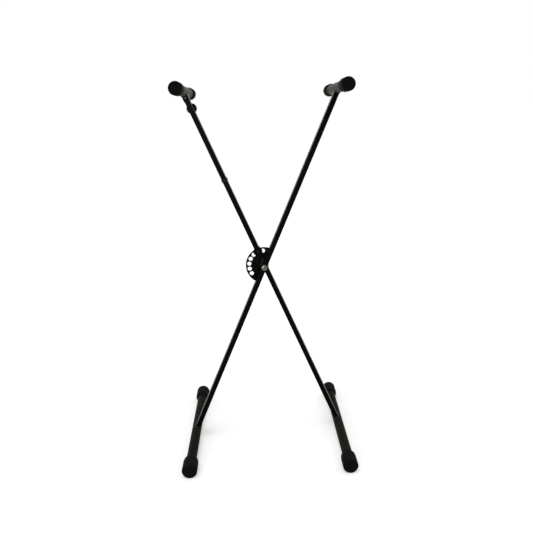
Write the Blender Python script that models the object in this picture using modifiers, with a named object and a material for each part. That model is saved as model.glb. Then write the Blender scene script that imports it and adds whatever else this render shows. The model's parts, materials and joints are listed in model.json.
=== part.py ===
"""Single-braced X stand for a keyboard: two flat-sided steel legs that cross on one bolt.

Metres, +Z up. X is the direction in which the legs spread, Y runs along the arms and floor tubes.
The origin lies on the floor under the middle of the footprint. The near side is -Y.
The front leg leans to +X at its top and carries the right arm and the left floor tube.
The rear leg leans to -X at its top and carries the left arm and the right floor tube.
"""

import math

import bmesh
import bpy
from mathutils import Matrix

# Stance
HALF_ANGLE = math.radians(23.3)
CLOSED_ANGLE = math.radians(4.8)

# Legs: rectangular tube, wide side along Y
LEG_UP = 0.4782
LEG_DOWN = 0.4956
LEG_WIDTH = 0.0127
LEG_DEPTH = 0.0254
LEG_WALL = 0.0013
LEG_CORNER = 0.0015
LEG_GAP = 0.0068

# Round tubes: an arm's ends are measured from the middle of its own leg,
# a floor tube's ends from the plane midway between the legs
TUBE_RADIUS = 0.0127
TUBE_WALL = 0.0013
ARM_NEAR = 0.1543
ARM_FAR = 0.1837
FLOOR_HALF = 0.2222

# Rubber ends
CAP_WALL = 0.0030
ARM_CAP_RADIUS = 0.0158
ARM_CAP_LENGTH = 0.050
ARM_CAP_ROUND = 0.0030
FOOT_RADIUS = 0.0190
FOOT_LENGTH = 0.054
FOOT_ROUND = 0.0055
FOOT_SHOULDER = 0.016
FOOT_FLAT = 0.0012
LIP = 0.0010

# Lock plate on the back of the front leg
PLATE_RADIUS = 0.0477
PLATE_THICKNESS = 0.0030
PLATE_OVERLAP = 0.0050
LOCK_RADIUS = 0.0388
LOCK_HOLE_RADIUS = 0.0054
LOCK_HOLES = 7
LOCK_STEP = math.radians(19.8)
REST_HOLE = 2

# Lock pin with its spring and knob, on the rear leg
PIN_RADIUS = 0.0044
PIN_TIP_RADIUS = 0.0029
PIN_NOSE = 0.0030
PIN_BODY = 0.0120
PIN_TRAVEL = 0.0031
PIN_CLEARANCE = 0.0003
SHANK_RADIUS = 0.0028
GUIDE_RADIUS = 0.0120
GUIDE_THICKNESS = 0.0024
REAR_BUSH_RADIUS = 0.0060
REAR_BUSH_FLANGE = 0.0025
REAR_BUSH_SPIGOT = 0.0031
PULL_KNOB_RADIUS = 0.0065
PULL_KNOB_LENGTH = 0.0160
PULL_KNOB_EDGE = 0.0013
PULL_KNOB_WAIST = 0.0052
WAIST_START = 0.0016
WAIST_END = 0.0077
GRIP_START = 0.0099
CROSS_PIN_PLACE = 0.0053
CROSS_PIN_RADIUS = 0.0010
SPRING_WIRE_RADIUS = 0.0005
SPRING_RADIUS = 0.0038
SPRING_TURNS = 5
SPRING_POINTS = 10

# Pivot bolt through both legs
BOLT_RADIUS = 0.0040
BOLT_HEAD_RADIUS = 0.0080
BOLT_HEAD_HEIGHT = 0.0046
BOLT_HEAD_RIM = 0.0009
BOLT_SOCKET = 0.0050
BOLT_SOCKET_DEPTH = 0.0026
BOLT_TAIL = 0.0020
HEAD_WASHER_RADIUS = 0.0100
HEAD_WASHER_THICKNESS = 0.0012
SPACER_RADIUS = 0.0120
REAR_WASHER_RADIUS = 0.0085
REAR_WASHER_THICKNESS = 0.0016
NUT_FLATS = 0.0130
NUT_HEIGHT = 0.0080
NUT_COLLAR = 0.0018
SLEEVE_WALL = 0.0006

# Bracket that carries the left arm on the rear leg
COLLAR_WALL = 0.0010
COLLAR_DROP = 0.0270
TONGUE_THICKNESS = 0.0020
TONGUE_END = 0.0120
TONGUE_LAP = 0.0040
SCREW_DROP = 0.0175
SCREW_RADIUS = 0.0015
SCREW_HEAD_RADIUS = 0.0028
SCREW_HEAD_HEIGHT = 0.0018
SCREW_HEAD_EDGE = 0.0009
SCREW_LENGTH = 0.0080

# Hand knob that clamps the bracket's tongue
KNOB_DROP = 0.0445
KNOB_RADIUS = 0.0131
KNOB_HEIGHT = 0.0125
KNOB_RIBS = 16
KNOB_RIB_DEPTH = 0.0005
KNOB_EDGE = 0.0014
KNOB_BORE_DEPTH = 0.0090
STUD_RADIUS = 0.0030
KNOB_WASHER_RADIUS = 0.0080
KNOB_WASHER_THICKNESS = 0.0012
WELD_NUT_FLATS = 0.0094
WELD_NUT_HEIGHT = 0.0050

# Shading and edge rounding
SMOOTH_ANGLE = 35
RUBBER_SMOOTH_ANGLE = 40
RIB_SMOOTH_ANGLE = 50
WIRE_SMOOTH_ANGLE = 60
EDGE_STEPS = 2
EDGE_ANGLE = 60
NUT_TURN = 30

# Band round the rear leg
BAND_HEIGHT_ON_LEG = 0.240
BAND_HEIGHT = 0.0080
BAND_WALL = 0.0010

# Seats and running fits
SEAT_GAP = 0.0003
RUN_GAP = 0.0002

# Facets
ROUND_STEPS = 32
SMALL_STEPS = 24
HOLE_STEPS = 20
SCREW_STEPS = 16
TINY_STEPS = 12
ARC_STEPS = 3
LIP_STEPS = 2
SHOULDER_STEPS = 4
DOME_STEPS = 5
TONGUE_STEPS = 8
RIB_STEPS = 4
INNER_CORNER_SHARE = 0.25
CUT_OVERRUN = 0.004
CUTTER_ROLL = math.radians(5)

# Sizes that follow from the ones above
LEG_HALF_GAP = LEG_GAP / 2
LEG_OUTER_FACE = LEG_HALF_GAP + LEG_DEPTH
LEG_MIDDLE = LEG_HALF_GAP + LEG_DEPTH / 2
FOOT_AXIS_Z = FOOT_RADIUS - FOOT_FLAT
PIVOT_Z = FOOT_AXIS_Z + LEG_DOWN * math.cos(HALF_ANGLE)
COPE_RADIUS = TUBE_RADIUS + SEAT_GAP
BOLT_HOLE_RADIUS = BOLT_RADIUS + SEAT_GAP
PIN_HOLE_RADIUS = PIN_RADIUS + RUN_GAP
STUD_HOLE_RADIUS = STUD_RADIUS + SEAT_GAP
SCREW_HOLE_RADIUS = SCREW_RADIUS + SEAT_GAP
PLATE_BACK = -LEG_HALF_GAP + SEAT_GAP + PLATE_THICKNESS
PIN_TIP_Y = PLATE_BACK + PIN_CLEARANCE

# Turn that stands a flat outline up, so that its thickness runs along Y
UPRIGHT = Matrix.Rotation(math.pi / 2, 4, "X")


def clear_scene():
    for old in list(bpy.data.objects):
        bpy.data.objects.remove(old, do_unlink=True)


def make_collection(name):
    collection = bpy.data.collections.new(name)
    bpy.context.scene.collection.children.link(collection)
    return collection


def make_material(name, color, roughness, metallic):
    material = bpy.data.materials.new(name)
    material.use_nodes = True
    shader = material.node_tree.nodes["Principled BSDF"]
    shader.inputs["Base Color"].default_value = (*color, 1.0)
    shader.inputs["Roughness"].default_value = roughness
    shader.inputs["Metallic"].default_value = metallic
    return material


FINISHES = {
    "black_paint": ((0.006, 0.006, 0.005), 0.30, 0.0),
    "tube_paint": ((0.010, 0.010, 0.008), 0.22, 0.0),
    "black_rubber": ((0.008, 0.008, 0.008), 0.62, 0.0),
    "black_plastic": ((0.006, 0.006, 0.006), 0.45, 0.0),
    "pale_nylon": ((0.55, 0.54, 0.50), 0.50, 0.0),
    "zinc_plate": ((0.32, 0.32, 0.30), 0.28, 1.0),
    "dark_steel": ((0.040, 0.040, 0.040), 0.35, 1.0),
    "spring_steel": ((0.40, 0.40, 0.40), 0.32, 1.0),
}


def finish(obj, finish_name, smooth_angle=SMOOTH_ANGLE):
    """Give the object a material of its own and smooth its round faces."""
    color, roughness, metallic = FINISHES[finish_name]
    material = make_material(obj.name + "_" + finish_name, color, roughness, metallic)
    obj.data.materials.clear()
    obj.data.materials.append(material)
    obj.data.shade_smooth()
    obj.data.set_sharp_from_angle(angle=math.radians(smooth_angle))
    return obj


def make_frame(name, location, turn_about_y=0.0, parent=None):
    frame = bpy.data.objects.new(name, None)
    frame.empty_display_size = 0.03
    frame.location = location
    frame.rotation_euler = (0.0, turn_about_y, 0.0)
    frame.parent = parent
    PARTS.objects.link(frame)
    return frame


def add_object(name, mesh, frame, location=(0.0, 0.0, 0.0), rotation=None):
    obj = bpy.data.objects.new(name, mesh)
    obj.parent = frame
    obj.location = location
    if rotation is not None:
        obj.rotation_euler = rotation.to_euler()
    PARTS.objects.link(obj)
    return obj


def as_cutter(obj):
    PARTS.objects.unlink(obj)
    CUTTERS.objects.link(obj)
    obj.display_type = "WIRE"
    obj.hide_render = True
    return obj


def combine(obj, other, operation="DIFFERENCE"):
    modifier = obj.modifiers.new(operation.lower() + "_" + other.name, "BOOLEAN")
    modifier.operation = operation
    modifier.solver = "EXACT"
    modifier.object = other


def along_y(direction=1, roll=0.0):
    """Turn a piece made along Z so that it runs along Y, rolled about that axis."""
    return Matrix.Rotation(roll, 4, "Y") @ Matrix.Rotation(-direction * math.pi / 2, 4, "X")


def arc(center_r, center_h, radius, start, end, steps=ARC_STEPS, radius_h=None):
    """Points of an arc in a turned profile; angles in degrees from the outward direction."""
    tall = radius if radius_h is None else radius_h
    points = []
    for step in range(steps + 1):
        angle = math.radians(start + (end - start) * step / steps)
        points.append((center_r + radius * math.cos(angle), center_h + tall * math.sin(angle)))
    return points


def turned(name, profile, frame, location, rotation, steps=SMALL_STEPS):
    """Turn a profile of (radius, height) points about the height axis.

    A profile runs down its outer side. One that starts and ends on the axis is a solid or a cup,
    any other is closed into a ring.
    """
    on_axis = profile[0][0] == 0.0 and profile[-1][0] == 0.0
    mesh = bpy.data.meshes.new(name)
    vertices = [(radius, 0.0, height) for radius, height in profile]
    edges = [(index, index + 1) for index in range(len(profile) - 1)]
    if not on_axis:
        edges.append((len(profile) - 1, 0))
    mesh.from_pydata(vertices, edges, [])
    obj = add_object(name, mesh, frame, location, rotation)
    screw = obj.modifiers.new("turn", "SCREW")
    screw.axis = "Z"
    screw.angle = 2 * math.pi
    screw.steps = steps
    screw.render_steps = steps
    screw.use_merge_vertices = True
    screw.merge_threshold = 0.00001
    screw.use_smooth_shade = True
    return obj


def ring_profile(outer, inner, length):
    return [(outer, length), (outer, 0.0), (inner, 0.0), (inner, length)]


def disc_profile(radius, length):
    return [(0.0, length), (radius, length), (radius, 0.0), (0.0, 0.0)]


def cutter_rod(name, radius, y_start, y_end, frame, x=0.0, z=0.0, steps=SMALL_STEPS):
    """A plain round cutter along Y, rolled so that holes in a row don't line up their corners."""
    rotation = along_y(roll=CUTTER_ROLL)
    rod = turned(name, disc_profile(radius, y_end - y_start), frame, (x, y_start, z), rotation, steps)
    return as_cutter(rod)


def outline_solid(name, outlines, thickness, frame, location, rotation=None):
    """Extrude flat outlines, holes included, into one closed mesh centred on its plane."""
    curve = bpy.data.curves.new(name, "CURVE")
    curve.dimensions = "2D"
    curve.fill_mode = "BOTH"
    curve.extrude = thickness / 2
    for outline in outlines:
        spline = curve.splines.new("POLY")
        spline.points.add(len(outline) - 1)
        for point, (x, y) in zip(spline.points, outline):
            point.co = (x, y, 0.0, 1.0)
        spline.use_cyclic_u = True
    return curve_to_object(name, curve, frame, location, rotation)


def curve_to_object(name, curve, frame, location=(0.0, 0.0, 0.0), rotation=None):
    """Make a welded mesh object of a curve and remove the curve."""
    source = add_object(name + "_curve", curve, frame, location, rotation)
    bpy.context.view_layer.update()
    depsgraph = bpy.context.evaluated_depsgraph_get()
    mesh = bpy.data.meshes.new_from_object(source.evaluated_get(depsgraph))
    mesh.name = name
    place = source.matrix_world.copy()
    welded = bmesh.new()
    welded.from_mesh(mesh)
    bmesh.ops.remove_doubles(welded, verts=welded.verts, dist=0.000001)
    bmesh.ops.recalc_face_normals(welded, faces=welded.faces)
    welded.to_mesh(mesh)
    welded.free()
    obj = add_object(name, mesh, frame)
    obj.matrix_world = place
    bpy.data.objects.remove(source, do_unlink=True)
    bpy.data.curves.remove(curve)
    return obj


def rounded_rectangle(width, depth, radius, steps=ARC_STEPS):
    points = []
    corners = ((1, 1, 0), (-1, 1, 90), (-1, -1, 180), (1, -1, 270))
    for side_x, side_y, start in corners:
        center_x = side_x * (width / 2 - radius)
        center_y = side_y * (depth / 2 - radius)
        points += arc(center_x, center_y, radius, start, start + 90, steps)
    return points


def circle(radius, steps, center=(0.0, 0.0)):
    points = arc(center[0], center[1], radius, 0, 360, steps)
    return points[:-1]


def hexagon(flats):
    corner = flats / math.sqrt(3)
    return circle(corner, 6)


def rectangular_ring(name, width, depth, wall, corner, bottom, top, y, frame):
    """A rectangular tube along Z, from bottom to top, with its axis at y."""
    outer = rounded_rectangle(width, depth, corner)
    inner_corner = max(corner - wall, corner * INNER_CORNER_SHARE)
    inner = rounded_rectangle(width - 2 * wall, depth - 2 * wall, inner_corner)
    return outline_solid(name, [outer, inner], top - bottom, frame, (0.0, y, (top + bottom) / 2))


def build_leg(name, side, frame):
    """A leg with its ends cut to sit on the round tubes and its bolt hole drilled."""
    center = side * LEG_MIDDLE
    reach = TUBE_RADIUS / 2
    leg = rectangular_ring(name, LEG_WIDTH, LEG_DEPTH, LEG_WALL, LEG_CORNER,
                           reach - LEG_DOWN, LEG_UP - reach, center, frame)
    front = center - LEG_DEPTH / 2 - CUT_OVERRUN
    back = center + LEG_DEPTH / 2 + CUT_OVERRUN
    for end_name, z in (("_top_cut", LEG_UP), ("_foot_cut", -LEG_DOWN)):
        combine(leg, cutter_rod(name + end_name, COPE_RADIUS, front, back, frame, z=z, steps=ROUND_STEPS))
    combine(leg, cutter_rod(name + "_bolt_hole", BOLT_HOLE_RADIUS, front, back, frame))
    return finish(leg, "black_paint")


def build_tube(name, near, far, z, frame, roll):
    """A round tube along Y from near to far."""
    profile = ring_profile(TUBE_RADIUS, TUBE_RADIUS - TUBE_WALL, far - near)
    tube = turned(name, profile, frame, (0.0, near, z), along_y(roll=roll), ROUND_STEPS)
    return finish(tube, "tube_paint")


def arm_cap_profile():
    """A rubber cup, mouth at height 0, closed end at the top."""
    outer = ARM_CAP_RADIUS
    bore = TUBE_RADIUS + SEAT_GAP
    top = ARM_CAP_LENGTH
    profile = [(0.0, top)]
    profile += arc(outer - ARM_CAP_ROUND, top - ARM_CAP_ROUND, ARM_CAP_ROUND, 90, 0)
    profile += arc(outer - LIP, LIP, LIP, 0, -90, LIP_STEPS)
    profile += [(bore, 0.0), (bore, top - CAP_WALL), (0.0, top - CAP_WALL)]
    return profile


def foot_profile():
    """A rubber foot: a fat cup with a long round shoulder towards its mouth."""
    outer = FOOT_RADIUS
    bore = TUBE_RADIUS + SEAT_GAP
    top = FOOT_LENGTH
    lip_radius = bore + LIP
    profile = [(0.0, top)]
    profile += arc(outer - FOOT_ROUND, top - FOOT_ROUND, FOOT_ROUND, 90, 0)
    profile += arc(lip_radius, FOOT_SHOULDER, outer - lip_radius, 0, -90, SHOULDER_STEPS, FOOT_SHOULDER)
    profile += [(bore, 0.0), (bore, top - CAP_WALL), (0.0, top - CAP_WALL)]
    return profile


def build_cap(name, profile, length, tube_end, direction, z, frame, roll):
    """Push a rubber cup over a tube's end; direction is +1 at the far end and -1 at the near end."""
    mouth = tube_end + direction * (SEAT_GAP + CAP_WALL - length)
    cap = turned(name, profile, frame, (0.0, mouth, z), along_y(direction, roll), ROUND_STEPS)
    return finish(cap, "black_rubber", RUBBER_SMOOTH_ANGLE)


def flatten_foot(foot, direction, tube_end, frame, turn):
    """Cut the moulded flat on which the foot stands."""
    length = FOOT_LENGTH + 2 * CUT_OVERRUN
    middle = tube_end + direction * (CAP_WALL - FOOT_LENGTH / 2)
    bm = bmesh.new()
    bmesh.ops.create_cube(bm, size=1.0)
    bmesh.ops.scale(bm, vec=(2 * FOOT_RADIUS, length, FOOT_RADIUS), verts=bm.verts)
    bmesh.ops.translate(bm, vec=(0.0, 0.0, -FOOT_AXIS_Z - FOOT_RADIUS / 2), verts=bm.verts)
    mesh = bpy.data.meshes.new(foot.name + "_flat")
    bm.to_mesh(mesh)
    bm.free()
    place = (0.0, middle, -LEG_DOWN)
    cutter = add_object(foot.name + "_flat", mesh, frame, place, Matrix.Rotation(turn, 4, "Y"))
    combine(foot, as_cutter(cutter))


def build_leg_tubes(arm_side, foot_side, leg_middle, frame, frame_turn):
    """The arm and the floor tube of one leg, with their four rubber ends."""
    half_facet = math.pi / ROUND_STEPS
    roll = half_facet - frame_turn
    arm_near = leg_middle - ARM_NEAR
    arm_far = leg_middle + ARM_FAR
    build_tube(arm_side + "_arm_tube", arm_near, arm_far, LEG_UP, frame, roll)
    build_tube(foot_side + "_floor_tube", -FLOOR_HALF, FLOOR_HALF, -LEG_DOWN, frame, roll)
    ends = (("near", -1, arm_near, -FLOOR_HALF), ("far", 1, arm_far, FLOOR_HALF))
    for end_name, direction, arm_end, floor_end in ends:
        build_cap(arm_side + "_arm_cap_" + end_name, arm_cap_profile(), ARM_CAP_LENGTH,
                  arm_end, direction, LEG_UP, frame, roll)
        foot = build_cap(foot_side + "_foot_" + end_name, foot_profile(), FOOT_LENGTH,
                         floor_end, direction, -LEG_DOWN, frame, roll)
        flatten_foot(foot, direction, floor_end, frame, -frame_turn)


def plate_point(radius, angle):
    """A point of the lock plate; the angle runs from the front leg's top towards the rear leg."""
    return (-radius * math.sin(angle), radius * math.cos(angle))


def lock_angle(index):
    """The angle between the legs with the pin in the numbered hole, counted from 1."""
    return 2 * HALF_ANGLE + (index - REST_HOLE) * LOCK_STEP


def build_lock_plate(frame):
    """A half disc with a row of lock holes and one tapered hole for the closed stand."""
    overlap = math.asin(PLATE_OVERLAP / PLATE_RADIUS)
    steps = 2 * ROUND_STEPS
    outline = []
    for step in range(steps + 1):
        angle = -overlap + (math.pi + 2 * overlap) * step / steps
        outline.append(plate_point(PLATE_RADIUS, angle))
    outlines = [outline, circle(BOLT_HOLE_RADIUS, SMALL_STEPS)]
    for index in range(1, LOCK_HOLES + 1):
        center = plate_point(LOCK_RADIUS, lock_angle(index))
        outlines.append(circle(LOCK_HOLE_RADIUS, HOLE_STEPS, center))
    middle = PLATE_BACK - PLATE_THICKNESS / 2
    plate = outline_solid("lock_plate", outlines, PLATE_THICKNESS, frame, (0.0, middle, 0.0), UPRIGHT)
    combine(plate, closed_hole_cutter(frame))
    return finish(plate, "black_paint")


def closed_hole_cutter(frame):
    """The taper that takes the pin's nose when the legs are shut, wide at the plate's back."""
    slope = (PIN_RADIUS - PIN_TIP_RADIUS) / PIN_NOSE
    front = PLATE_BACK - PLATE_THICKNESS - SEAT_GAP
    back = PLATE_BACK + SEAT_GAP
    tip = PIN_TIP_Y - PIN_TRAVEL
    front_radius = PIN_TIP_RADIUS + PIN_CLEARANCE + (front - tip) * slope
    back_radius = PIN_TIP_RADIUS + PIN_CLEARANCE + (back - tip) * slope
    length = back - front
    profile = [(0.0, length), (back_radius, length), (front_radius, 0.0), (0.0, 0.0)]
    x, z = plate_point(LOCK_RADIUS, CLOSED_ANGLE)
    return as_cutter(turned("closed_hole", profile, frame, (x, front, z), along_y()))


def build_lock_pin(frame):
    """The pin: a tapered nose, a guided body and a thin shank that ends in the pull knob."""
    body_end = PIN_NOSE + PIN_BODY
    shank_end = pull_knob_front() - PIN_TIP_Y + PULL_KNOB_LENGTH - CAP_WALL
    profile = [
        (0.0, shank_end),
        (SHANK_RADIUS, shank_end),
        (SHANK_RADIUS, body_end),
        (PIN_RADIUS, body_end),
        (PIN_RADIUS, PIN_NOSE),
        (PIN_TIP_RADIUS, 0.0),
        (0.0, 0.0),
    ]
    pin = turned("lock_pin", profile, frame, (0.0, PIN_TIP_Y, 0.0), along_y())
    combine(pin, cross_pin_hole("shank_cross_hole", frame))
    return finish(pin, "dark_steel")


def pull_knob_front():
    """Where the knob's front face stands: clear of the rear bush with the pin pushed home."""
    bush_back = LEG_OUTER_FACE + SEAT_GAP + REAR_BUSH_FLANGE
    return bush_back + PIN_TRAVEL + SEAT_GAP


def cross_pin_y():
    return pull_knob_front() + CROSS_PIN_PLACE


def cross_pin_hole(name, frame):
    half = PULL_KNOB_RADIUS + CUT_OVERRUN
    profile = disc_profile(CROSS_PIN_RADIUS + SEAT_GAP, 2 * half)
    place = (-half, cross_pin_y(), 0.0)
    along_x = Matrix.Rotation(math.pi / 2, 4, "Y")
    return as_cutter(turned(name, profile, frame, place, along_x, TINY_STEPS))


def build_pull_knob(frame):
    """A small waisted knob, closed at its back and held on the shank by a cross pin."""
    length = PULL_KNOB_LENGTH
    outer = PULL_KNOB_RADIUS
    bore = SHANK_RADIUS + SEAT_GAP
    edge = PULL_KNOB_EDGE
    waist = PULL_KNOB_WAIST
    profile = [(0.0, length)]
    profile += arc(outer - edge, length - edge, edge, 90, 0)
    profile += [(outer, GRIP_START), (waist, WAIST_END), (waist, WAIST_START)]
    profile += [(waist - edge / 2, 0.0), (bore, 0.0)]
    blind_end = length - CAP_WALL + SEAT_GAP
    profile += [(bore, blind_end), (0.0, blind_end)]
    knob = turned("pull_knob", profile, frame, (0.0, pull_knob_front(), 0.0), along_y())
    combine(knob, cross_pin_hole("knob_cross_hole", frame))
    return finish(knob, "black_plastic")


def build_cross_pin(frame):
    half = PULL_KNOB_WAIST - SEAT_GAP
    along_x = Matrix.Rotation(math.pi / 2, 4, "Y")
    place = (-half, cross_pin_y(), 0.0)
    profile = disc_profile(CROSS_PIN_RADIUS, 2 * half)
    pin = turned("knob_cross_pin", profile, frame, place, along_x, TINY_STEPS)
    return finish(pin, "dark_steel")


def build_pin_guides(frame):
    """The round guide on the leg's inner face and the bush in its outer face."""
    guide_front = LEG_HALF_GAP - SEAT_GAP - GUIDE_THICKNESS
    guide_profile = ring_profile(GUIDE_RADIUS, PIN_HOLE_RADIUS, GUIDE_THICKNESS)
    guide = turned("pin_guide_ring", guide_profile, frame, (0.0, guide_front, 0.0), along_y(), ROUND_STEPS)
    finish(guide, "black_paint")
    bore = SHANK_RADIUS + RUN_GAP
    spigot = PIN_HOLE_RADIUS - SEAT_GAP
    length = REAR_BUSH_SPIGOT + REAR_BUSH_FLANGE
    bush_profile = [
        (REAR_BUSH_RADIUS, length),
        (REAR_BUSH_RADIUS, REAR_BUSH_SPIGOT),
        (spigot, REAR_BUSH_SPIGOT),
        (spigot, 0.0),
        (bore, 0.0),
        (bore, length),
    ]
    bush = turned("pin_rear_bush", bush_profile, frame, (0.0, rear_bush_front(), 0.0), along_y())
    finish(bush, "zinc_plate")


def rear_bush_front():
    return LEG_OUTER_FACE + SEAT_GAP - REAR_BUSH_SPIGOT


def spring_points(start, end):
    """Centreline of the pin's spring: one helix with a short straight run at each end."""
    straight = 2 * SPRING_WIRE_RADIUS
    bottom = start + SPRING_WIRE_RADIUS
    top = end - SPRING_WIRE_RADIUS
    total = SPRING_TURNS * SPRING_POINTS
    points = [(SPRING_RADIUS, bottom, -straight)]
    for index in range(total + 1):
        angle = 2 * math.pi * index / SPRING_POINTS
        height = bottom + (top - bottom) * index / total
        points.append((SPRING_RADIUS * math.cos(angle), height, SPRING_RADIUS * math.sin(angle)))
    points.append((SPRING_RADIUS, top, straight))
    return points


def least_gap(points, wire_radius, skip):
    """The smallest clear distance of a tube's centreline points to those at least skip away."""
    smallest = math.inf
    for first in range(len(points)):
        for second in range(first + skip, len(points)):
            smallest = min(smallest, math.dist(points[first], points[second]))
    return smallest - 2 * wire_radius


def build_spring(frame):
    """The spring round the pin's shank, from the pin's body to the rear bush."""
    start = PIN_TIP_Y + PIN_NOSE + PIN_BODY + SEAT_GAP
    end = rear_bush_front() - SEAT_GAP
    points = spring_points(start, end)
    gap = least_gap(points, SPRING_WIRE_RADIUS, SPRING_POINTS // 2)
    print("pin_spring least gap to itself: %.2f mm" % (gap * 1000))
    curve = bpy.data.curves.new("pin_spring", "CURVE")
    curve.dimensions = "3D"
    curve.bevel_depth = SPRING_WIRE_RADIUS
    curve.bevel_resolution = 1
    curve.use_fill_caps = True
    spline = curve.splines.new("POLY")
    spline.points.add(len(points) - 1)
    for point, place in zip(spline.points, points):
        point.co = (*place, 1.0)
    return finish(curve_to_object("pin_spring", curve, frame), "spring_steel", WIRE_SMOOTH_ANGLE)


def build_pivot(frame):
    """The bolt, its washers, spacer and lock nut, and a sleeve in each leg."""
    washer_front = -LEG_OUTER_FACE - SEAT_GAP - HEAD_WASHER_THICKNESS
    head_back = washer_front - SEAT_GAP
    rear_washer_front = LEG_OUTER_FACE + SEAT_GAP
    nut_front = rear_washer_front + REAR_WASHER_THICKNESS + SEAT_GAP
    build_bolt(frame, head_back, nut_front + NUT_HEIGHT + BOLT_TAIL)
    washers = (
        ("pivot_head_washer", HEAD_WASHER_RADIUS, HEAD_WASHER_THICKNESS, washer_front, "black_paint"),
        ("pivot_rear_washer", REAR_WASHER_RADIUS, REAR_WASHER_THICKNESS, rear_washer_front, "zinc_plate"),
        ("pivot_spacer", SPACER_RADIUS, LEG_HALF_GAP - PLATE_BACK - 2 * SEAT_GAP,
         PLATE_BACK + SEAT_GAP, "pale_nylon"),
    )
    for name, radius, thickness, front, finish_name in washers:
        profile = ring_profile(radius, BOLT_HOLE_RADIUS, thickness)
        finish(turned(name, profile, frame, (0.0, front, 0.0), along_y(), ROUND_STEPS), finish_name)
    build_lock_nut(frame, nut_front)


def build_bolt(frame, head_back, tail):
    """A domed bolt with a hexagon socket, its head on the near side."""
    rise = BOLT_HEAD_HEIGHT
    rim = BOLT_HEAD_RIM
    profile = [(0.0, rise)]
    profile += arc(0.0, rim, BOLT_HEAD_RADIUS, 90, 0, DOME_STEPS, rise - rim)[1:]
    profile += [(BOLT_HEAD_RADIUS, 0.0), (BOLT_RADIUS, 0.0)]
    profile += [(BOLT_RADIUS, head_back - tail), (0.0, head_back - tail)]
    bolt = turned("pivot_bolt", profile, frame, (0.0, head_back, 0.0), along_y(-1), ROUND_STEPS)
    depth = BOLT_SOCKET_DEPTH + rise
    middle = head_back - rise + BOLT_SOCKET_DEPTH - depth / 2
    socket = outline_solid("bolt_socket", [hexagon(BOLT_SOCKET)], depth, frame, (0.0, middle, 0.0), UPRIGHT)
    combine(bolt, as_cutter(socket))
    return finish(bolt, "zinc_plate")


def build_lock_nut(frame, front):
    """A hexagon nut with chamfered corners and a round collar that holds the lock insert."""
    corner = NUT_FLATS / math.sqrt(3)
    flat = NUT_FLATS / 2
    hex_top = NUT_HEIGHT - NUT_COLLAR
    chamfer = (corner - flat) / 2
    bore = BOLT_HOLE_RADIUS
    profile = [
        (flat - chamfer, NUT_HEIGHT),
        (flat - chamfer / 2, hex_top),
        (corner + chamfer, hex_top - chamfer),
        (corner + chamfer, chamfer),
        (flat, 0.0),
        (bore, 0.0),
        (bore, NUT_HEIGHT),
    ]
    nut = turned("pivot_lock_nut", profile, frame, (0.0, front, 0.0), along_y(), ROUND_STEPS)
    middle = front + NUT_HEIGHT / 2
    depth = NUT_HEIGHT + 2 * CUT_OVERRUN
    prism = outline_solid("nut_prism", [hexagon(NUT_FLATS)], depth, frame, (0.0, middle, 0.0), UPRIGHT)
    combine(nut, as_cutter(prism), "INTERSECT")
    return finish(nut, "zinc_plate")


def build_sleeve(name, side, frame):
    """A sleeve on the bolt inside a leg, so that the nut doesn't crush the tube."""
    length = LEG_DEPTH - 2 * LEG_WALL - 2 * SEAT_GAP
    middle = side * LEG_MIDDLE
    inner = BOLT_RADIUS + RUN_GAP
    profile = ring_profile(inner + SLEEVE_WALL, inner, length)
    sleeve = turned(name, profile, frame, (0.0, middle - length / 2, 0.0), along_y())
    return finish(sleeve, "zinc_plate")


def drill_rear_leg(leg, frame):
    """Holes of the rear leg: lock pin, hand-knob stud and bracket screw."""
    front = LEG_HALF_GAP - CUT_OVERRUN
    back = LEG_OUTER_FACE + CUT_OVERRUN
    middle = LEG_MIDDLE
    combine(leg, cutter_rod("leg_pin_hole", PIN_HOLE_RADIUS, front, back, frame, z=LOCK_RADIUS))
    knob_z = LEG_UP - KNOB_DROP
    screw_z = LEG_UP - SCREW_DROP
    combine(leg, cutter_rod("leg_stud_hole", STUD_HOLE_RADIUS, middle, back, frame, z=knob_z))
    combine(leg, cutter_rod("leg_screw_hole", SCREW_HOLE_RADIUS, front, middle, frame,
                            z=screw_z, steps=TINY_STEPS))


def build_arm_bracket(frame):
    """A collar round the leg's top, welded under the arm, with a tongue down the leg's outer face."""
    middle = LEG_MIDDLE
    grow = 2 * (SEAT_GAP + COLLAR_WALL)
    corner = LEG_CORNER + SEAT_GAP + COLLAR_WALL
    bottom = LEG_UP - COLLAR_DROP
    top = LEG_UP - TUBE_RADIUS / 2
    bracket = rectangular_ring("arm_bracket", LEG_WIDTH + grow, LEG_DEPTH + grow, COLLAR_WALL,
                               corner, bottom, top, middle, frame)
    combine(bracket, tongue_solid(frame), "UNION")
    front = LEG_HALF_GAP - CUT_OVERRUN
    back = LEG_OUTER_FACE + CUT_OVERRUN
    knob_z = LEG_UP - KNOB_DROP
    screw_z = LEG_UP - SCREW_DROP
    combine(bracket, cutter_rod("bracket_cope", COPE_RADIUS, front, back, frame,
                                z=LEG_UP, steps=ROUND_STEPS))
    combine(bracket, cutter_rod("tongue_stud_hole", STUD_HOLE_RADIUS, middle, back, frame, z=knob_z))
    combine(bracket, cutter_rod("collar_screw_hole", SCREW_HOLE_RADIUS, front, middle, frame,
                                z=screw_z, steps=TINY_STEPS))
    return finish(bracket, "black_paint")


def tongue_solid(frame):
    """The tongue with a round lower end, from inside the collar's wall to below the hand knob."""
    half = LEG_WIDTH / 2
    knob_z = LEG_UP - KNOB_DROP
    top = LEG_UP - COLLAR_DROP + TONGUE_LAP
    outline = [(half, top), (-half, top)]
    for x, y in arc(0.0, knob_z - TONGUE_END + half, half, 180, 360, TONGUE_STEPS):
        outline.append((x, y))
    middle = LEG_OUTER_FACE + SEAT_GAP + TONGUE_THICKNESS / 2
    tongue = outline_solid("bracket_tongue", [outline], TONGUE_THICKNESS, frame, (0.0, middle, 0.0), UPRIGHT)
    return as_cutter(tongue)


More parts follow.
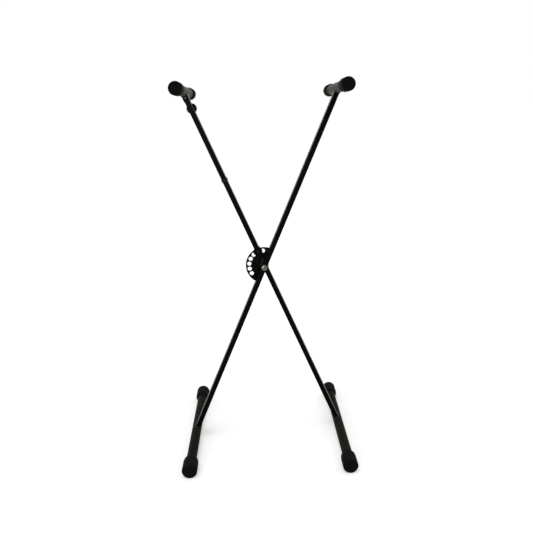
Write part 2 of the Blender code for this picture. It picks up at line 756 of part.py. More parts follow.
def build_bracket_screw(frame):
    """A small pan-head screw through the collar into the leg's inner face."""
    head_back = LEG_HALF_GAP - SEAT_GAP - COLLAR_WALL - SEAT_GAP
    profile = [(0.0, SCREW_HEAD_HEIGHT)]
    edge = SCREW_HEAD_EDGE
    profile += arc(SCREW_HEAD_RADIUS - edge, SCREW_HEAD_HEIGHT - edge, edge, 90, 0)
    profile += [(SCREW_HEAD_RADIUS, 0.0), (SCREW_RADIUS, 0.0)]
    profile += [(SCREW_RADIUS, -SCREW_LENGTH), (0.0, -SCREW_LENGTH)]
    place = (0.0, head_back, LEG_UP - SCREW_DROP)
    return finish(turned("bracket_screw", profile, frame, place, along_y(-1), SCREW_STEPS), "zinc_plate")


def knob_washer_front():
    return LEG_OUTER_FACE + SEAT_GAP + TONGUE_THICKNESS + SEAT_GAP


def knob_front():
    return knob_washer_front() + KNOB_WASHER_THICKNESS + SEAT_GAP


def build_hand_knob(frame):
    """A round plastic knob with shallow ribs, moulded on a threaded stud."""
    outline = []
    count = KNOB_RIBS * RIB_STEPS
    for step in range(count):
        angle = 2 * math.pi * step / count
        radius = KNOB_RADIUS - KNOB_RIB_DEPTH * (1 - math.cos(KNOB_RIBS * angle)) / 2
        outline.append((radius * math.cos(angle), radius * math.sin(angle)))
    middle = knob_front() + KNOB_HEIGHT / 2
    knob = outline_solid("hand_knob", [outline], KNOB_HEIGHT, frame, (0.0, middle, 0.0), UPRIGHT)
    bevel = knob.modifiers.new("edges", "BEVEL")
    bevel.width = KNOB_EDGE
    bevel.segments = EDGE_STEPS
    bevel.limit_method = "ANGLE"
    bevel.angle_limit = math.radians(EDGE_ANGLE)
    bore = cutter_rod("knob_bore", STUD_HOLE_RADIUS, knob_front() - CUT_OVERRUN,
                      knob_front() + KNOB_BORE_DEPTH + SEAT_GAP, frame)
    combine(knob, bore)
    finish(knob, "black_plastic", RIB_SMOOTH_ANGLE)
    start = LEG_OUTER_FACE - LEG_WALL - SEAT_GAP - WELD_NUT_HEIGHT - CUT_OVERRUN
    length = knob_front() + KNOB_BORE_DEPTH - start
    stud = turned("hand_knob_stud", disc_profile(STUD_RADIUS, length), frame, (0.0, start, 0.0), along_y())
    finish(stud, "zinc_plate")


def build_knob_seat(frame):
    """The washer under the hand knob and the nut welded inside the leg, which stay with the leg."""
    knob_z = LEG_UP - KNOB_DROP
    profile = ring_profile(KNOB_WASHER_RADIUS, STUD_HOLE_RADIUS, KNOB_WASHER_THICKNESS)
    washer = turned("hand_knob_washer", profile, frame, (0.0, knob_washer_front(), knob_z), along_y())
    finish(washer, "dark_steel")
    middle = LEG_OUTER_FACE - LEG_WALL - SEAT_GAP - WELD_NUT_HEIGHT / 2
    outlines = [hexagon(WELD_NUT_FLATS), circle(STUD_HOLE_RADIUS, SMALL_STEPS)]
    turned_flat = UPRIGHT @ Matrix.Rotation(math.radians(NUT_TURN), 4, "Z")
    place = (0.0, middle, knob_z)
    nut = outline_solid("hand_knob_nut", outlines, WELD_NUT_HEIGHT, frame, place, turned_flat)
    finish(nut, "zinc_plate")


def build_leg_band(frame):
    """A thin plastic band round the rear leg above the pivot."""
    middle = LEG_MIDDLE
    grow = 2 * (SEAT_GAP + BAND_WALL)
    corner = LEG_CORNER + SEAT_GAP + BAND_WALL
    bottom = BAND_HEIGHT_ON_LEG - BAND_HEIGHT / 2
    band = rectangular_ring("leg_band", LEG_WIDTH + grow, LEG_DEPTH + grow, BAND_WALL,
                            corner, bottom, bottom + BAND_HEIGHT, middle, frame)
    return finish(band, "black_plastic")


def build_front_leg_group():
    frame = make_frame("front_leg_axis", (0.0, 0.0, PIVOT_Z), HALF_ANGLE)
    build_leg("front_leg", -1, frame)
    build_leg_tubes("right", "left", -LEG_MIDDLE, frame, HALF_ANGLE)
    build_lock_plate(frame)
    build_pivot(frame)
    build_sleeve("front_leg_sleeve", -1, frame)


def build_rear_leg_group():
    frame = make_frame("fold_axis", (0.0, 0.0, PIVOT_Z), -HALF_ANGLE)
    rear_leg = build_leg("rear_leg", 1, frame)
    drill_rear_leg(rear_leg, frame)
    build_leg_tubes("left", "right", LEG_MIDDLE, frame, -HALF_ANGLE)
    build_sleeve("rear_leg_sleeve", 1, frame)
    build_arm_bracket(frame)
    build_bracket_screw(frame)
    build_knob_seat(frame)
    build_leg_band(frame)
    pin_frame = make_frame("lock_pin_axis", (0.0, 0.0, LOCK_RADIUS), parent=frame)
    build_pin_guides(pin_frame)
    build_spring(pin_frame)
    build_lock_pin(pin_frame)
    build_pull_knob(pin_frame)
    build_cross_pin(pin_frame)
    knob_frame = make_frame("hand_knob_axis", (0.0, 0.0, LEG_UP - KNOB_DROP), parent=frame)
    build_hand_knob(knob_frame)


clear_scene()
PARTS = make_collection("keyboard_stand")
CUTTERS = make_collection("cutters")
build_front_leg_group()
build_rear_leg_group()
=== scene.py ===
import json
import math

import bmesh
import bpy
from mathutils import Matrix, Vector


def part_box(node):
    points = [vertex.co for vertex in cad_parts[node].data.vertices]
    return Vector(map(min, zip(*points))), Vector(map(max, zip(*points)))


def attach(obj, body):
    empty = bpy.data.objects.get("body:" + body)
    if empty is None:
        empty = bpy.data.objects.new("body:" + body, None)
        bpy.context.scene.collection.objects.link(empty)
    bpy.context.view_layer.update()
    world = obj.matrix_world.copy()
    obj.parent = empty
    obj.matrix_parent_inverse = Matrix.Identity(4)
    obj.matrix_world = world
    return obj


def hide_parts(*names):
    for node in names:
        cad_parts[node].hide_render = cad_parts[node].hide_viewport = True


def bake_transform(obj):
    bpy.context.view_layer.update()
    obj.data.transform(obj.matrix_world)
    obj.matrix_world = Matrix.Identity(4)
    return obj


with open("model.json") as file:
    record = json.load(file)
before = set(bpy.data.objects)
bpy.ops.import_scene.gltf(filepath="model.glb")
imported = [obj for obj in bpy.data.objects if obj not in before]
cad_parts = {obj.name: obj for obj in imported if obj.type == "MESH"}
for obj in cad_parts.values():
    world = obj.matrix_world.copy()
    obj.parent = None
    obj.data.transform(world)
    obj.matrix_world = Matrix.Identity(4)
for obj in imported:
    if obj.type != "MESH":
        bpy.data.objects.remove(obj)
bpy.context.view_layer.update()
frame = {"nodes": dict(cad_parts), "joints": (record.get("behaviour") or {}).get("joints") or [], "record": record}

# The camera, in metres and radians, with a lens on a frame of that width in mm
CAMERA_PLACE = (-0.0220, -1.5284, 0.8440)
CAMERA_YAW = -0.0183
CAMERA_PITCH = 0.2408
CAMERA_ROLL = -0.0228
CAMERA_LENS = 40.82
CAMERA_FRAME = 36

# Light: the surroundings, the three lamps, and the floor with its own white in view
WORLD_LIGHT = 0.55
OVERHEAD_LIGHT = 0.8
OVERHEAD_SPREAD = math.radians(40)
OVERHEAD_PLACE = (-0.5, -0.7, 3.0)
GLINT_LIGHT = 70.0
GLINT_SIZE = 0.62
GLINT_PLACE = (-1.43, -4.28, 0.89)
REAR_LIGHT = 22.0
REAR_SIZE = 1.0
REAR_PLACE = (2.2, 3.4, 1.9)
FLOOR_SIZE = 60
FLOOR_TONE = 0.80
FLOOR_GLOW = 0.38

# The two legs, in metres: heights are measured along a leg from the pivot
HALF_ANGLE = math.radians(23.3)
LEG_UP = 0.4782
LEG_DOWN = 0.4956
LEG_WIDTH = 0.0127
LEG_DEPTH = 0.0254
LEG_WALL = 0.0013
LEG_CORNER = 0.0015
LEG_HALF_GAP = 0.0034
LEG_MIDDLE = LEG_HALF_GAP + LEG_DEPTH / 2
PIN_HOLE_RADIUS = 0.0046
STUD_HOLE_RADIUS = 0.0033
SCREW_HOLE_RADIUS = 0.0018

# Gaps: between pieces that seat on each other, and round the round tubes
SEAT_GAP = 0.0003
TUBE_GAP = 0.0002

# Round tubes and their rubber ends
TUBE_RADIUS = 0.0127
TUBE_WALL = 0.0013
TUBE_EDGE = 0.0004
RUBBER_BORE = TUBE_RADIUS + TUBE_GAP
RUBBER_END_WALL = 0.0031
SLEEVE_RADIUS = 0.0157
SLEEVE_LIP = 0.0010
SLEEVE_CORNER = 0.0026
SLEEVE_RIDGE = 0.00010
SLEEVE_FIRST_RING = 0.0120
SLEEVE_LAST_RING = 0.0200
SLEEVE_DISH = (0.0112, 0.0106, 0.0006)
FOOT_RADIUS = 0.0188
FOOT_LIP = 0.0008
FOOT_LIP_WIDTH = 0.0010
FOOT_LIP_EDGE = 0.0004
FOOT_SHOULDER = 0.0158
FOOT_SHOULDER_END = 0.0160
FOOT_CORNER = 0.0055
FOOT_RIDGE = 0.00008
FOOT_FIRST_RING = 0.0220
FOOT_LAST_RING = 0.0150
FOOT_DISH = (0.0118, 0.0110, 0.0007)
DISH_STEP = 0.0001
DISH_MIDDLE = 0.0040
FLOOR_GAP = 0.00002

# Weld beads
WELD_RADIUS = 0.0020
WELD_STEP = 0.0007
BRACKET_WALL = 0.0013
STITCH_RADIUS = 0.0034
STITCH_STEP = 0.0003
STITCH_LOW = -0.0050
STITCH_HIGH = 0.0165
STITCH_OFFSET = 0.0014
STITCH_SINK = 0.0004

# Lock plate
PLATE_RADIUS = 0.0477
PLATE_THICKNESS = 0.0030
PLATE_OVERLAP = 0.0050
PLATE_EDGE = 0.00035
LOCK_RADIUS = 0.0388
LOCK_HOLE_RADIUS = 0.0054
LOCK_HOLES = 7
LOCK_STEP = math.radians(19.8)
REST_HOLE = 2
CLOSED_ANGLE = math.radians(4.8)
CLOSED_HOLE_FRONT = 0.0029
CLOSED_HOLE_BACK = 0.0047

# Pivot bolt, its lock nut and rings
BOLT_RADIUS = 0.0040
BOLT_HOLE_RADIUS = 0.0043
HEAD_RADIUS = 0.0080
HEAD_HEIGHT = 0.0046
HEAD_RIM = 0.0009
SOCKET_FLATS = 0.0050
SOCKET_DEPTH = 0.0026
THREAD_LENGTH = 0.0130
THREAD_PITCH = 0.00125
THREAD_DEPTH = 0.0006
THREAD_CREST = BOLT_RADIUS - 0.00005
TAIL_LENGTH = 0.0012
NUT_HALF_FLATS = 0.0065
NUT_COLLAR = 0.0018
INSERT_BORE = BOLT_HOLE_RADIUS + 0.0008
HEAD_WASHER_RADIUS = 0.0100
REAR_WASHER_RADIUS = 0.0085
SPACER_RADIUS = 0.0120
RING_FIT = 0.998
RING_EDGE = 0.0003

# Lock pin, its guides, spring and pull knob
GUIDE_RADIUS = 0.01195
BUSH_RADIUS = 0.0043
BUSH_FLANGE_RADIUS = 0.00595
BUSH_FLANGE = 0.0025
BUSH_BORE = 0.0030
SPRING_RADIUS = 0.0038
SPRING_WIRE_RADIUS = 0.0005
SPRING_TURNS = 5
SPRING_STEPS = 32
PULL_RADIUS = 0.0064
PULL_WAIST = 0.0052
PULL_BORE = 0.0031
PULL_CORNER = 0.0012
PULL_END_WALL = 0.0030
PULL_GROOVES = 24
PULL_GROOVE_RADIUS = 0.00045

# Bracket screw, hand knob and leg band
SCREW_DROP = 0.0175
SCREW_HEAD_RADIUS = 0.00275
SCREW_HEAD_HEIGHT = 0.0018
SCREW_RADIUS = 0.0015
CROSS_LENGTH = 0.0030
CROSS_WIDTH = 0.0006
CROSS_DEPTH = 0.0018
KNOB_DROP = 0.0445
KNOB_RADIUS = 0.0130
KNOB_RIBS = 16
KNOB_RIB_SIDES = 12
KNOB_RIB_DEPTH = 0.0005
KNOB_RIM = 0.0014
KNOB_BORE = 0.0093
WASHER_RADIUS = 0.0079
BAND_CENTRE = 0.240
BAND_HEIGHT = 0.0080
BAND_WALL = 0.0010
BAND_FIT = 0.0013

# Sides of round pieces, the distance at which points are merged, and how far a cutter stands out
ROUND = 96
SMALL_ROUND = 64
PLATE_ROUND = 192
MERGE_DISTANCE = 0.000002
CUT_REACH = 0.002

PIVOT = Vector(next(joint["pos_m"] for joint in frame["joints"] if joint["name"] == "fold"))
PIVOT_CENTRE = (PIVOT.x, PIVOT.z)
LEANS = {"front": HALF_ANGLE, "rear": -HALF_ANGLE}
LEG_SIDES = {"front": -1, "rear": 1}
BODIES = {"front": "front_frame", "rear": "rear_frame"}


# Modelling helpers
def fresh():
    """Back to object mode with nothing selected."""
    if bpy.context.mode != "OBJECT":
        bpy.ops.object.mode_set(mode="OBJECT")
    bpy.ops.object.select_all(action="DESELECT")


def only(obj):
    fresh()
    obj.select_set(True)
    bpy.context.view_layer.objects.active = obj


def settle(obj, name=None):
    """Move an object's place, turn and scale into its mesh."""
    only(obj)
    bpy.ops.object.transform_apply(location=True, rotation=True, scale=True)
    if name:
        obj.name = name
        obj.data.name = name
    return obj


def edit(obj, kind="VERT"):
    only(obj)
    bpy.ops.object.mode_set(mode="EDIT")
    bpy.ops.mesh.select_mode(type=kind)
    bpy.ops.mesh.select_all(action="SELECT")


def select_open_rings():
    bpy.ops.mesh.select_all(action="DESELECT")
    bpy.ops.mesh.select_non_manifold(extend=False)


def outward(obj):
    """Merge points that meet and turn the faces outwards."""
    edit(obj)
    bpy.ops.mesh.remove_doubles(threshold=MERGE_DISTANCE)
    bpy.ops.mesh.normals_make_consistent(inside=False)
    fresh()
    return obj


def pick(obj, test, kind="VERT"):
    """Select by place: test gets a point's or face's middle and normal, or an edge's middle and run."""
    bpy.ops.mesh.select_mode(type=kind)
    bpy.ops.mesh.select_all(action="DESELECT")
    mesh = bmesh.from_edit_mesh(obj.data)
    if kind == "VERT":
        for vertex in mesh.verts:
            vertex.select = test(vertex.co, vertex.normal)
    elif kind == "EDGE":
        for edge in mesh.edges:
            middle = (edge.verts[0].co + edge.verts[1].co) / 2
            edge.select = test(middle, edge.verts[1].co - edge.verts[0].co)
    else:
        for face in mesh.faces:
            face.select = test(face.calc_center_median(), face.normal)
    mesh.select_flush_mode()
    bmesh.update_edit_mesh(obj.data)


def modify(obj, kind, **values):
    """Add a modifier and apply it."""
    only(obj)
    bpy.ops.object.modifier_add(type=kind)
    modifier = obj.modifiers[-1]
    for key, value in values.items():
        setattr(modifier, key, value)
    bpy.ops.object.modifier_apply(modifier=modifier.name)
    return obj


def cut(obj, cutter, operation="DIFFERENCE"):
    modify(obj, "BOOLEAN", operation=operation, solver="EXACT", object=cutter)
    bpy.data.objects.remove(cutter, do_unlink=True)
    outward(obj)


def soften(obj, width, segments=2, angle=35):
    """Round the edges sharper than the angle."""
    return modify(obj, "BEVEL", width=width, segments=segments, limit_method="ANGLE",
                  angle_limit=math.radians(angle), harden_normals=False)


def smooth(obj, angle=32):
    """Smooth shading that keeps large flat faces flat beside their rounded edges."""
    only(obj)
    bpy.ops.object.shade_smooth_by_angle(angle=math.radians(angle))
    return modify(obj, "WEIGHTED_NORMAL", keep_sharp=True, weight=50)


def turned(name, centre, stations, closed="flat", sides=ROUND):
    """Turn a piece about a line along Y through centre (x, z).

    stations are (y, radius), from one end to the other. closed says how it ends: flat fills both
    end rings, ring joins the last ring to the first, and open leaves the first ring open. A radius
    of 0 draws a ring to a point.
    """
    x, z = centre
    y, radius = stations[0]
    fresh()
    bpy.ops.mesh.primitive_circle_add(vertices=sides, radius=radius, fill_type="NOTHING",
                                      location=(x, y, z), rotation=(math.pi / 2, 0, 0))
    obj = settle(bpy.context.object, name)
    edit(obj)
    if closed == "flat":
        bpy.ops.mesh.edge_face_add()
        bpy.ops.mesh.select_mode(type="EDGE")
    for next_y, next_radius in stations[1:]:
        bpy.ops.mesh.extrude_region_move(TRANSFORM_OT_translate={"value": (0, next_y - y, 0)})
        if next_radius == 0:
            bpy.ops.mesh.merge(type="COLLAPSE")
            break
        factor = next_radius / radius
        bpy.ops.transform.resize(value=(factor, 1, factor), center_override=(x, next_y, z))
        y, radius = next_y, next_radius
    if closed == "ring":
        select_open_rings()
        bpy.ops.mesh.bridge_edge_loops()
    return outward(obj)


def arc(middle_y, middle_radius, width, height, start, end, steps):
    """Stations of an arc; angles in degrees, 0 is outward and 90 is towards +Y."""
    found = []
    for step in range(steps + 1):
        angle = math.radians(start + (end - start) * step / steps)
        found.append((middle_y + height * math.sin(angle), middle_radius + width * math.cos(angle)))
    return found


def ring(name, centre, y_start, y_end, outer, inner, edge, sides=SMALL_ROUND):
    stations = [(y_start, outer), (y_end, outer), (y_end, inner), (y_start, inner)]
    return soften(turned(name, centre, stations, "ring", sides), edge)


def rod(centre, radius, y_start, y_end, sides=SMALL_ROUND):
    """A plain cutter along Y: round, or a prism with few sides."""
    fresh()
    x, z = centre
    middle = (y_start + y_end) / 2
    bpy.ops.mesh.primitive_cylinder_add(vertices=sides, radius=radius, depth=abs(y_end - y_start),
                                        location=(x, middle, z), rotation=(math.pi / 2, 0, 0))
    return settle(bpy.context.object)


def block(size, middle):
    fresh()
    bpy.ops.mesh.primitive_cube_add(size=1, location=middle)
    obj = bpy.context.object
    obj.scale = size
    return settle(obj)


def joined(objects):
    only(objects[0])
    for obj in objects[1:]:
        obj.select_set(True)
    bpy.ops.object.join()
    return bpy.context.object


def lean(obj, leg):
    """Take a piece modelled on an upright leg, pivot at the origin, to its place."""
    obj.matrix_world = Matrix.Translation(PIVOT) @ Matrix.Rotation(LEANS[leg], 4, "Y")
    return settle(obj)


def place_on(leg, height):
    """Where a point on an upright leg's middle line is in the stand, as (x, z)."""
    point = Matrix.Rotation(LEANS[leg], 4, "Y") @ Vector((0, 0, height)) + PIVOT
    return (point.x, point.z)


def span(node):
    """A node's reach along Y and the middle of its box as (x, z)."""
    low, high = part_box(node)
    return low.y, high.y, ((low.x + high.x) / 2, (low.z + high.z) / 2)


def paint(obj, material):
    obj.data.materials.clear()
    obj.data.materials.append(material)


def hold(obj, body, slot, material, *nodes):
    """Give a finished piece its finish and its body, and hide the solids that it stands for. The slot is not used.
    """
    paint(obj, material)
    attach(obj, body)
    if nodes:
        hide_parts(*nodes)


# Nodes that the finishes are built from
def new_group(name, inputs, outputs):
    group = bpy.data.node_groups.new(name, "ShaderNodeTree")
    for label, value in inputs:
        socket = group.interface.new_socket(label, in_out="INPUT", socket_type="NodeSocketFloat")
        socket.default_value = value
    for label in outputs:
        group.interface.new_socket(label, in_out="OUTPUT", socket_type="NodeSocketFloat")
    return group, group.nodes.new("NodeGroupInput"), group.nodes.new("NodeGroupOutput")


def use_group(nodes, group, **values):
    node = nodes.new("ShaderNodeGroup")
    node.node_tree = group
    for label, value in values.items():
        node.inputs[label.replace("_", " ")].default_value = value
    return node


def math_node(nodes, links, operation, first, second):
    node = nodes.new("ShaderNodeMath")
    node.operation = operation
    for index, value in enumerate((first, second)):
        if isinstance(value, (int, float)):
            node.inputs[index].default_value = value
        else:
            links.new(value, node.inputs[index])
    return node.outputs[0]


def range_node(nodes, links, value, from_low, from_high, to_low=0.0, to_high=1.0):
    """Map a value from one range to another, held at the ends."""
    node = nodes.new("ShaderNodeMapRange")
    node.inputs["From Min"].default_value = from_low
    node.inputs["From Max"].default_value = from_high
    node.inputs["To Min"].default_value = to_low
    node.inputs["To Max"].default_value = to_high
    links.new(value, node.inputs["Value"])
    return node.outputs[0]


def noise_node(nodes, links, vector, scale, detail, roughness=0.5):
    node = nodes.new("ShaderNodeTexNoise")
    node.inputs["Detail"].default_value = detail
    node.inputs["Roughness"].default_value = roughness
    links.new(vector, node.inputs["Vector"])
    links.new(scale, node.inputs["Scale"])
    return node.outputs[0]


def blend_colour(nodes, links, factor, first, second):
    node = nodes.new("ShaderNodeMix")
    node.data_type = "RGBA"
    links.new(factor, node.inputs["Factor"])
    for socket, value in ((node.inputs["A"], first), (node.inputs["B"], second)):
        if isinstance(value, tuple):
            socket.default_value = (*value, 1.0)
        else:
            links.new(value, socket)
    return node.outputs["Result"]


def make_grain_group():
    """Fine grain for a bump, and broad mottling for tone and gloss."""
    group, inside, outside = new_group("fine_grain", [("Grain Scale", 900), ("Mottle Scale", 14)],
                                       ["Grain", "Mottle"])
    nodes, links = group.nodes, group.links
    where = nodes.new("ShaderNodeTexCoord").outputs["Object"]
    grain = noise_node(nodes, links, where, inside.outputs["Grain Scale"], 3)
    mottle = noise_node(nodes, links, where, inside.outputs["Mottle Scale"], 5, 0.6)
    links.new(grain, outside.inputs["Grain"])
    links.new(mottle, outside.inputs["Mottle"])
    return group


def make_dust_group():
    """A thin film of dust that lies thicker on faces turned up."""
    group, inside, outside = new_group("resting_dust", [("Dust Scale", 40)], ["Dust"])
    nodes, links = group.nodes, group.links
    where = nodes.new("ShaderNodeTexCoord").outputs["Object"]
    facing = nodes.new("ShaderNodeSeparateXYZ")
    links.new(nodes.new("ShaderNodeNewGeometry").outputs["Normal"], facing.inputs[0])
    up = range_node(nodes, links, facing.outputs["Z"], 0.2, 1.0)
    cloud = noise_node(nodes, links, where, inside.outputs["Dust Scale"], 6, 0.65)
    links.new(math_node(nodes, links, "MULTIPLY", up, cloud), outside.inputs["Dust"])
    return group


def make_streak_group():
    """Long fine lines along Y, as drawn tube has."""
    group, inside, outside = new_group("drawn_lines", [("Line Scale", 600)], ["Lines"])
    nodes, links = group.nodes, group.links
    where = nodes.new("ShaderNodeTexCoord").outputs["Object"]
    stretch = nodes.new("ShaderNodeMapping")
    stretch.inputs["Scale"].default_value = (1.0, 0.02, 1.0)
    links.new(where, stretch.inputs["Vector"])
    lines = noise_node(nodes, links, stretch.outputs[0], inside.outputs["Line Scale"], 2)
    links.new(lines, outside.inputs["Lines"])
    return group


def make_edge_group():
    """Where a sharp edge would be rubbed, in broken patches."""
    group, inside, outside = new_group("rubbed_edges", [("Patch Scale", 160)], ["Wear"])
    nodes, links = group.nodes, group.links
    where = nodes.new("ShaderNodeTexCoord").outputs["Object"]
    rounded = nodes.new("ShaderNodeBevel")
    rounded.samples = 4
    rounded.inputs["Radius"].default_value = 0.0007
    compare = nodes.new("ShaderNodeVectorMath")
    compare.operation = "DOT_PRODUCT"
    links.new(rounded.outputs[0], compare.inputs[0])
    links.new(nodes.new("ShaderNodeNewGeometry").outputs["Normal"], compare.inputs[1])
    edge = range_node(nodes, links, compare.outputs["Value"], 0.985, 0.90)
    patches = noise_node(nodes, links, where, inside.outputs["Patch Scale"], 4, 0.6)
    broken = range_node(nodes, links, patches, 0.50, 0.62)
    links.new(math_node(nodes, links, "MULTIPLY", edge, broken), outside.inputs["Wear"])
    return group


GRAIN = make_grain_group()
EDGES = make_edge_group()
DUST = make_dust_group()
LINES = make_streak_group()

# Finishes
GRAIN_DEPTH = 0.00004
MOTTLE_RANGE = (0.3, 0.7)
DUST_COLOUR = (0.22, 0.21, 0.19)
WORN_COLOUR = (0.18, 0.18, 0.17)
# Painted shade on the bolt head: a dark colour laid into its hexagon socket and round its rim, with the socket's
# radius and depth ranges and the rim's range
PAINTED_SHADE_COLOUR = (0.020, 0.019, 0.017)
SHADE_SOCKET_RADIUS = (0.0031, 0.0026)
SHADE_SOCKET_DEPTH = (0.0002, 0.0012)
SHADE_RIM_RANGE = (0.0064, 0.0076, 0.0, 0.85)


def make_finish(name, dark, light, rough, metallic=0.0, ior=1.5, grain=900.0, mottle=14.0, bump=0.1,
                dust=0.0, wear=0.0, lines=0.0, sheen=0.0, sheen_tint=(1.0, 1.0, 1.0)):
    """A finish from its darkest and lightest tone, its range of roughness and its surface relief."""
    material = bpy.data.materials.new(name)
    material.use_nodes = True
    nodes, links = material.node_tree.nodes, material.node_tree.links
    shader = nodes["Principled BSDF"]
    texture = use_group(nodes, GRAIN, Grain_Scale=grain, Mottle_Scale=mottle)
    colour = blend_colour(nodes, links, texture.outputs["Mottle"], dark, light)
    roughness = range_node(nodes, links, texture.outputs["Mottle"], *MOTTLE_RANGE, *rough)
    if dust:
        film = use_group(nodes, DUST)
        amount = math_node(nodes, links, "MULTIPLY", film.outputs["Dust"], dust)
        colour = blend_colour(nodes, links, amount, colour, DUST_COLOUR)
        roughness = math_node(nodes, links, "ADD", roughness, amount)
    if wear:
        edges = use_group(nodes, EDGES)
        amount = math_node(nodes, links, "MULTIPLY", edges.outputs["Wear"], wear)
        colour = blend_colour(nodes, links, amount, colour, WORN_COLOUR)
    height = texture.outputs["Grain"]
    if lines:
        drawn = use_group(nodes, LINES)
        height = math_node(nodes, links, "ADD", height,
                           math_node(nodes, links, "MULTIPLY", drawn.outputs["Lines"], lines))
    relief = nodes.new("ShaderNodeBump")
    relief.inputs["Strength"].default_value = bump
    relief.inputs["Distance"].default_value = GRAIN_DEPTH
    links.new(height, relief.inputs["Height"])
    links.new(colour, shader.inputs["Base Color"])
    links.new(roughness, shader.inputs["Roughness"])
    links.new(relief.outputs[0], shader.inputs["Normal"])
    shader.inputs["Metallic"].default_value = metallic
    shader.inputs["IOR"].default_value = ior
    shader.inputs["Sheen Weight"].default_value = sheen
    shader.inputs["Sheen Roughness"].default_value = 0.3
    shader.inputs["Sheen Tint"].default_value = (*sheen_tint, 1.0)
    return material


LEG_PAINT = make_finish("leg_paint", (0.0012, 0.0012, 0.0009), (0.0024, 0.0024, 0.0019), (0.24, 0.36),
                        ior=1.085, grain=800, bump=0.25, dust=0.015, wear=0.15)
TUBE_PAINT = make_finish("round_tube_paint", (0.0074, 0.0074, 0.0061), (0.0120, 0.0120, 0.0099),
                         (0.20, 0.30), ior=1.018, grain=900, bump=0.20, dust=0.015, lines=0.6,
                         sheen=0.11, sheen_tint=(1.0, 0.97, 0.68))
WELD_PAINT = make_finish("weld_paint", (0.0020, 0.0020, 0.0016), (0.0036, 0.0036, 0.0030), (0.34, 0.50),
                         ior=1.28, grain=2200, bump=0.35)
RUBBER = make_finish("moulded_rubber", (0.0030, 0.0030, 0.0030), (0.0056, 0.0056, 0.0056), (0.55, 0.72),
                     ior=1.06, grain=2600, bump=0.5, dust=0.03, mottle=30)
KNOB_PLASTIC = make_finish("knob_plastic", (0.0026, 0.0026, 0.0026), (0.0044, 0.0044, 0.0044),
                           (0.40, 0.52), ior=1.16, grain=3200, bump=0.35)
ZINC = make_finish("clean_zinc", (0.10, 0.10, 0.09), (0.17, 0.17, 0.155), (0.16, 0.26), metallic=1.0,
                   grain=2600, bump=0.15, mottle=120)
SCREW_ZINC = make_finish("dulled_zinc", (0.030, 0.030, 0.028), (0.055, 0.055, 0.050), (0.34, 0.46),
                         metallic=1.0, grain=2600, bump=0.15, mottle=160)
DARK_STEEL = make_finish("blackened_steel", (0.012, 0.012, 0.012), (0.024, 0.024, 0.023), (0.25, 0.40),
                         metallic=1.0, grain=2600, bump=0.15, mottle=120)
NYLON = make_finish("natural_nylon", (0.48, 0.47, 0.43), (0.58, 0.57, 0.53), (0.42, 0.55), grain=2000,
                    bump=0.15)
SPRING_STEEL = make_finish("spring_wire", (0.16, 0.16, 0.16), (0.28, 0.28, 0.27), (0.25, 0.40),
                           metallic=1.0, grain=2400, bump=0.1, mottle=160)
FINISHES = {
    "black_paint": LEG_PAINT,
    "tube_paint": TUBE_PAINT,
    "black_rubber": RUBBER,
    "black_plastic": KNOB_PLASTIC,
    "pale_nylon": NYLON,
    "zinc_plate": ZINC,
    "dark_steel": DARK_STEEL,
    "spring_steel": SPRING_STEEL,
}


def finish_solids():
    """Every solid that stays in view gets its own finish."""
    for part in frame["record"]["subparts"]:
        node = frame["nodes"][part["node"]]
        node.data.materials.clear()
        node.data.materials.append(FINISHES[part["material_slot"]])


# Round tubes and rubber ends
def make_tube(node, body):
    start, end, centre = span(node)
    tube = ring(node + "_drawn", centre, start, end, TUBE_RADIUS, TUBE_RADIUS - TUBE_WALL, TUBE_EDGE, ROUND)
    hold(smooth(tube), body, "tube_paint", TUBE_PAINT, node)


def rubber_end(node, tube_node):
    """Which way a rubber end points along Y, its centre, and its mouth and tip counted that way."""
    start, end, _ = span(node)
    tube_start, _, centre = span(tube_node)
    if start > tube_start:
        return 1, centre, start, end
    return -1, centre, -end, -start


def end_corner(tip, radius, corner, steps):
    """Stations round the corner between a barrel of that radius and the end face at tip."""
    return arc(tip - corner, radius - corner, corner, corner, 0, 90, steps)


def end_dish(tip, outer, inner, depth):
    """Stations of the shallow dish in a moulded end face, drawn to a point at its middle."""
    floor = tip - depth
    return [(tip - DISH_STEP, outer), (floor, inner), (floor - DISH_STEP, DISH_MIDDLE), (floor, 0)]


def close_bore(obj, depth):
    """Carry the open mouth's inner ring along Y by depth and close it there."""
    edit(obj)
    select_open_rings()
    bpy.ops.mesh.extrude_region_move(TRANSFORM_OT_translate={"value": (0, depth, 0)})
    bpy.ops.mesh.edge_face_add()
    outward(obj)


def raise_parting_line(obj, centre, rise, barrel):
    """The thin ridge where two mould halves met, on both sides of a barrel."""
    x, z = centre
    edit(obj)
    half_width = math.radians(360 / ROUND / 4)

    def on_line(place, _):
        across, up = place.x - x, place.z - z
        return math.hypot(across, up) > barrel * 0.96 and abs(math.atan2(up, abs(across))) < half_width

    pick(obj, on_line)
    bpy.ops.transform.resize(value=(1 + rise / barrel, 1, 1), center_override=(x, 0, z))
    fresh()


def mould(node, direction, centre, stations, bore_depth, ridge, barrel):
    """Turn a rubber end from stations that start at its mouth, bore it and raise its parting line."""
    mirrored = [(direction * y, radius) for y, radius in stations]
    end = turned(node + "_moulded", centre, mirrored, "open")
    close_bore(end, direction * bore_depth)
    raise_parting_line(end, centre, ridge, barrel)
    return end


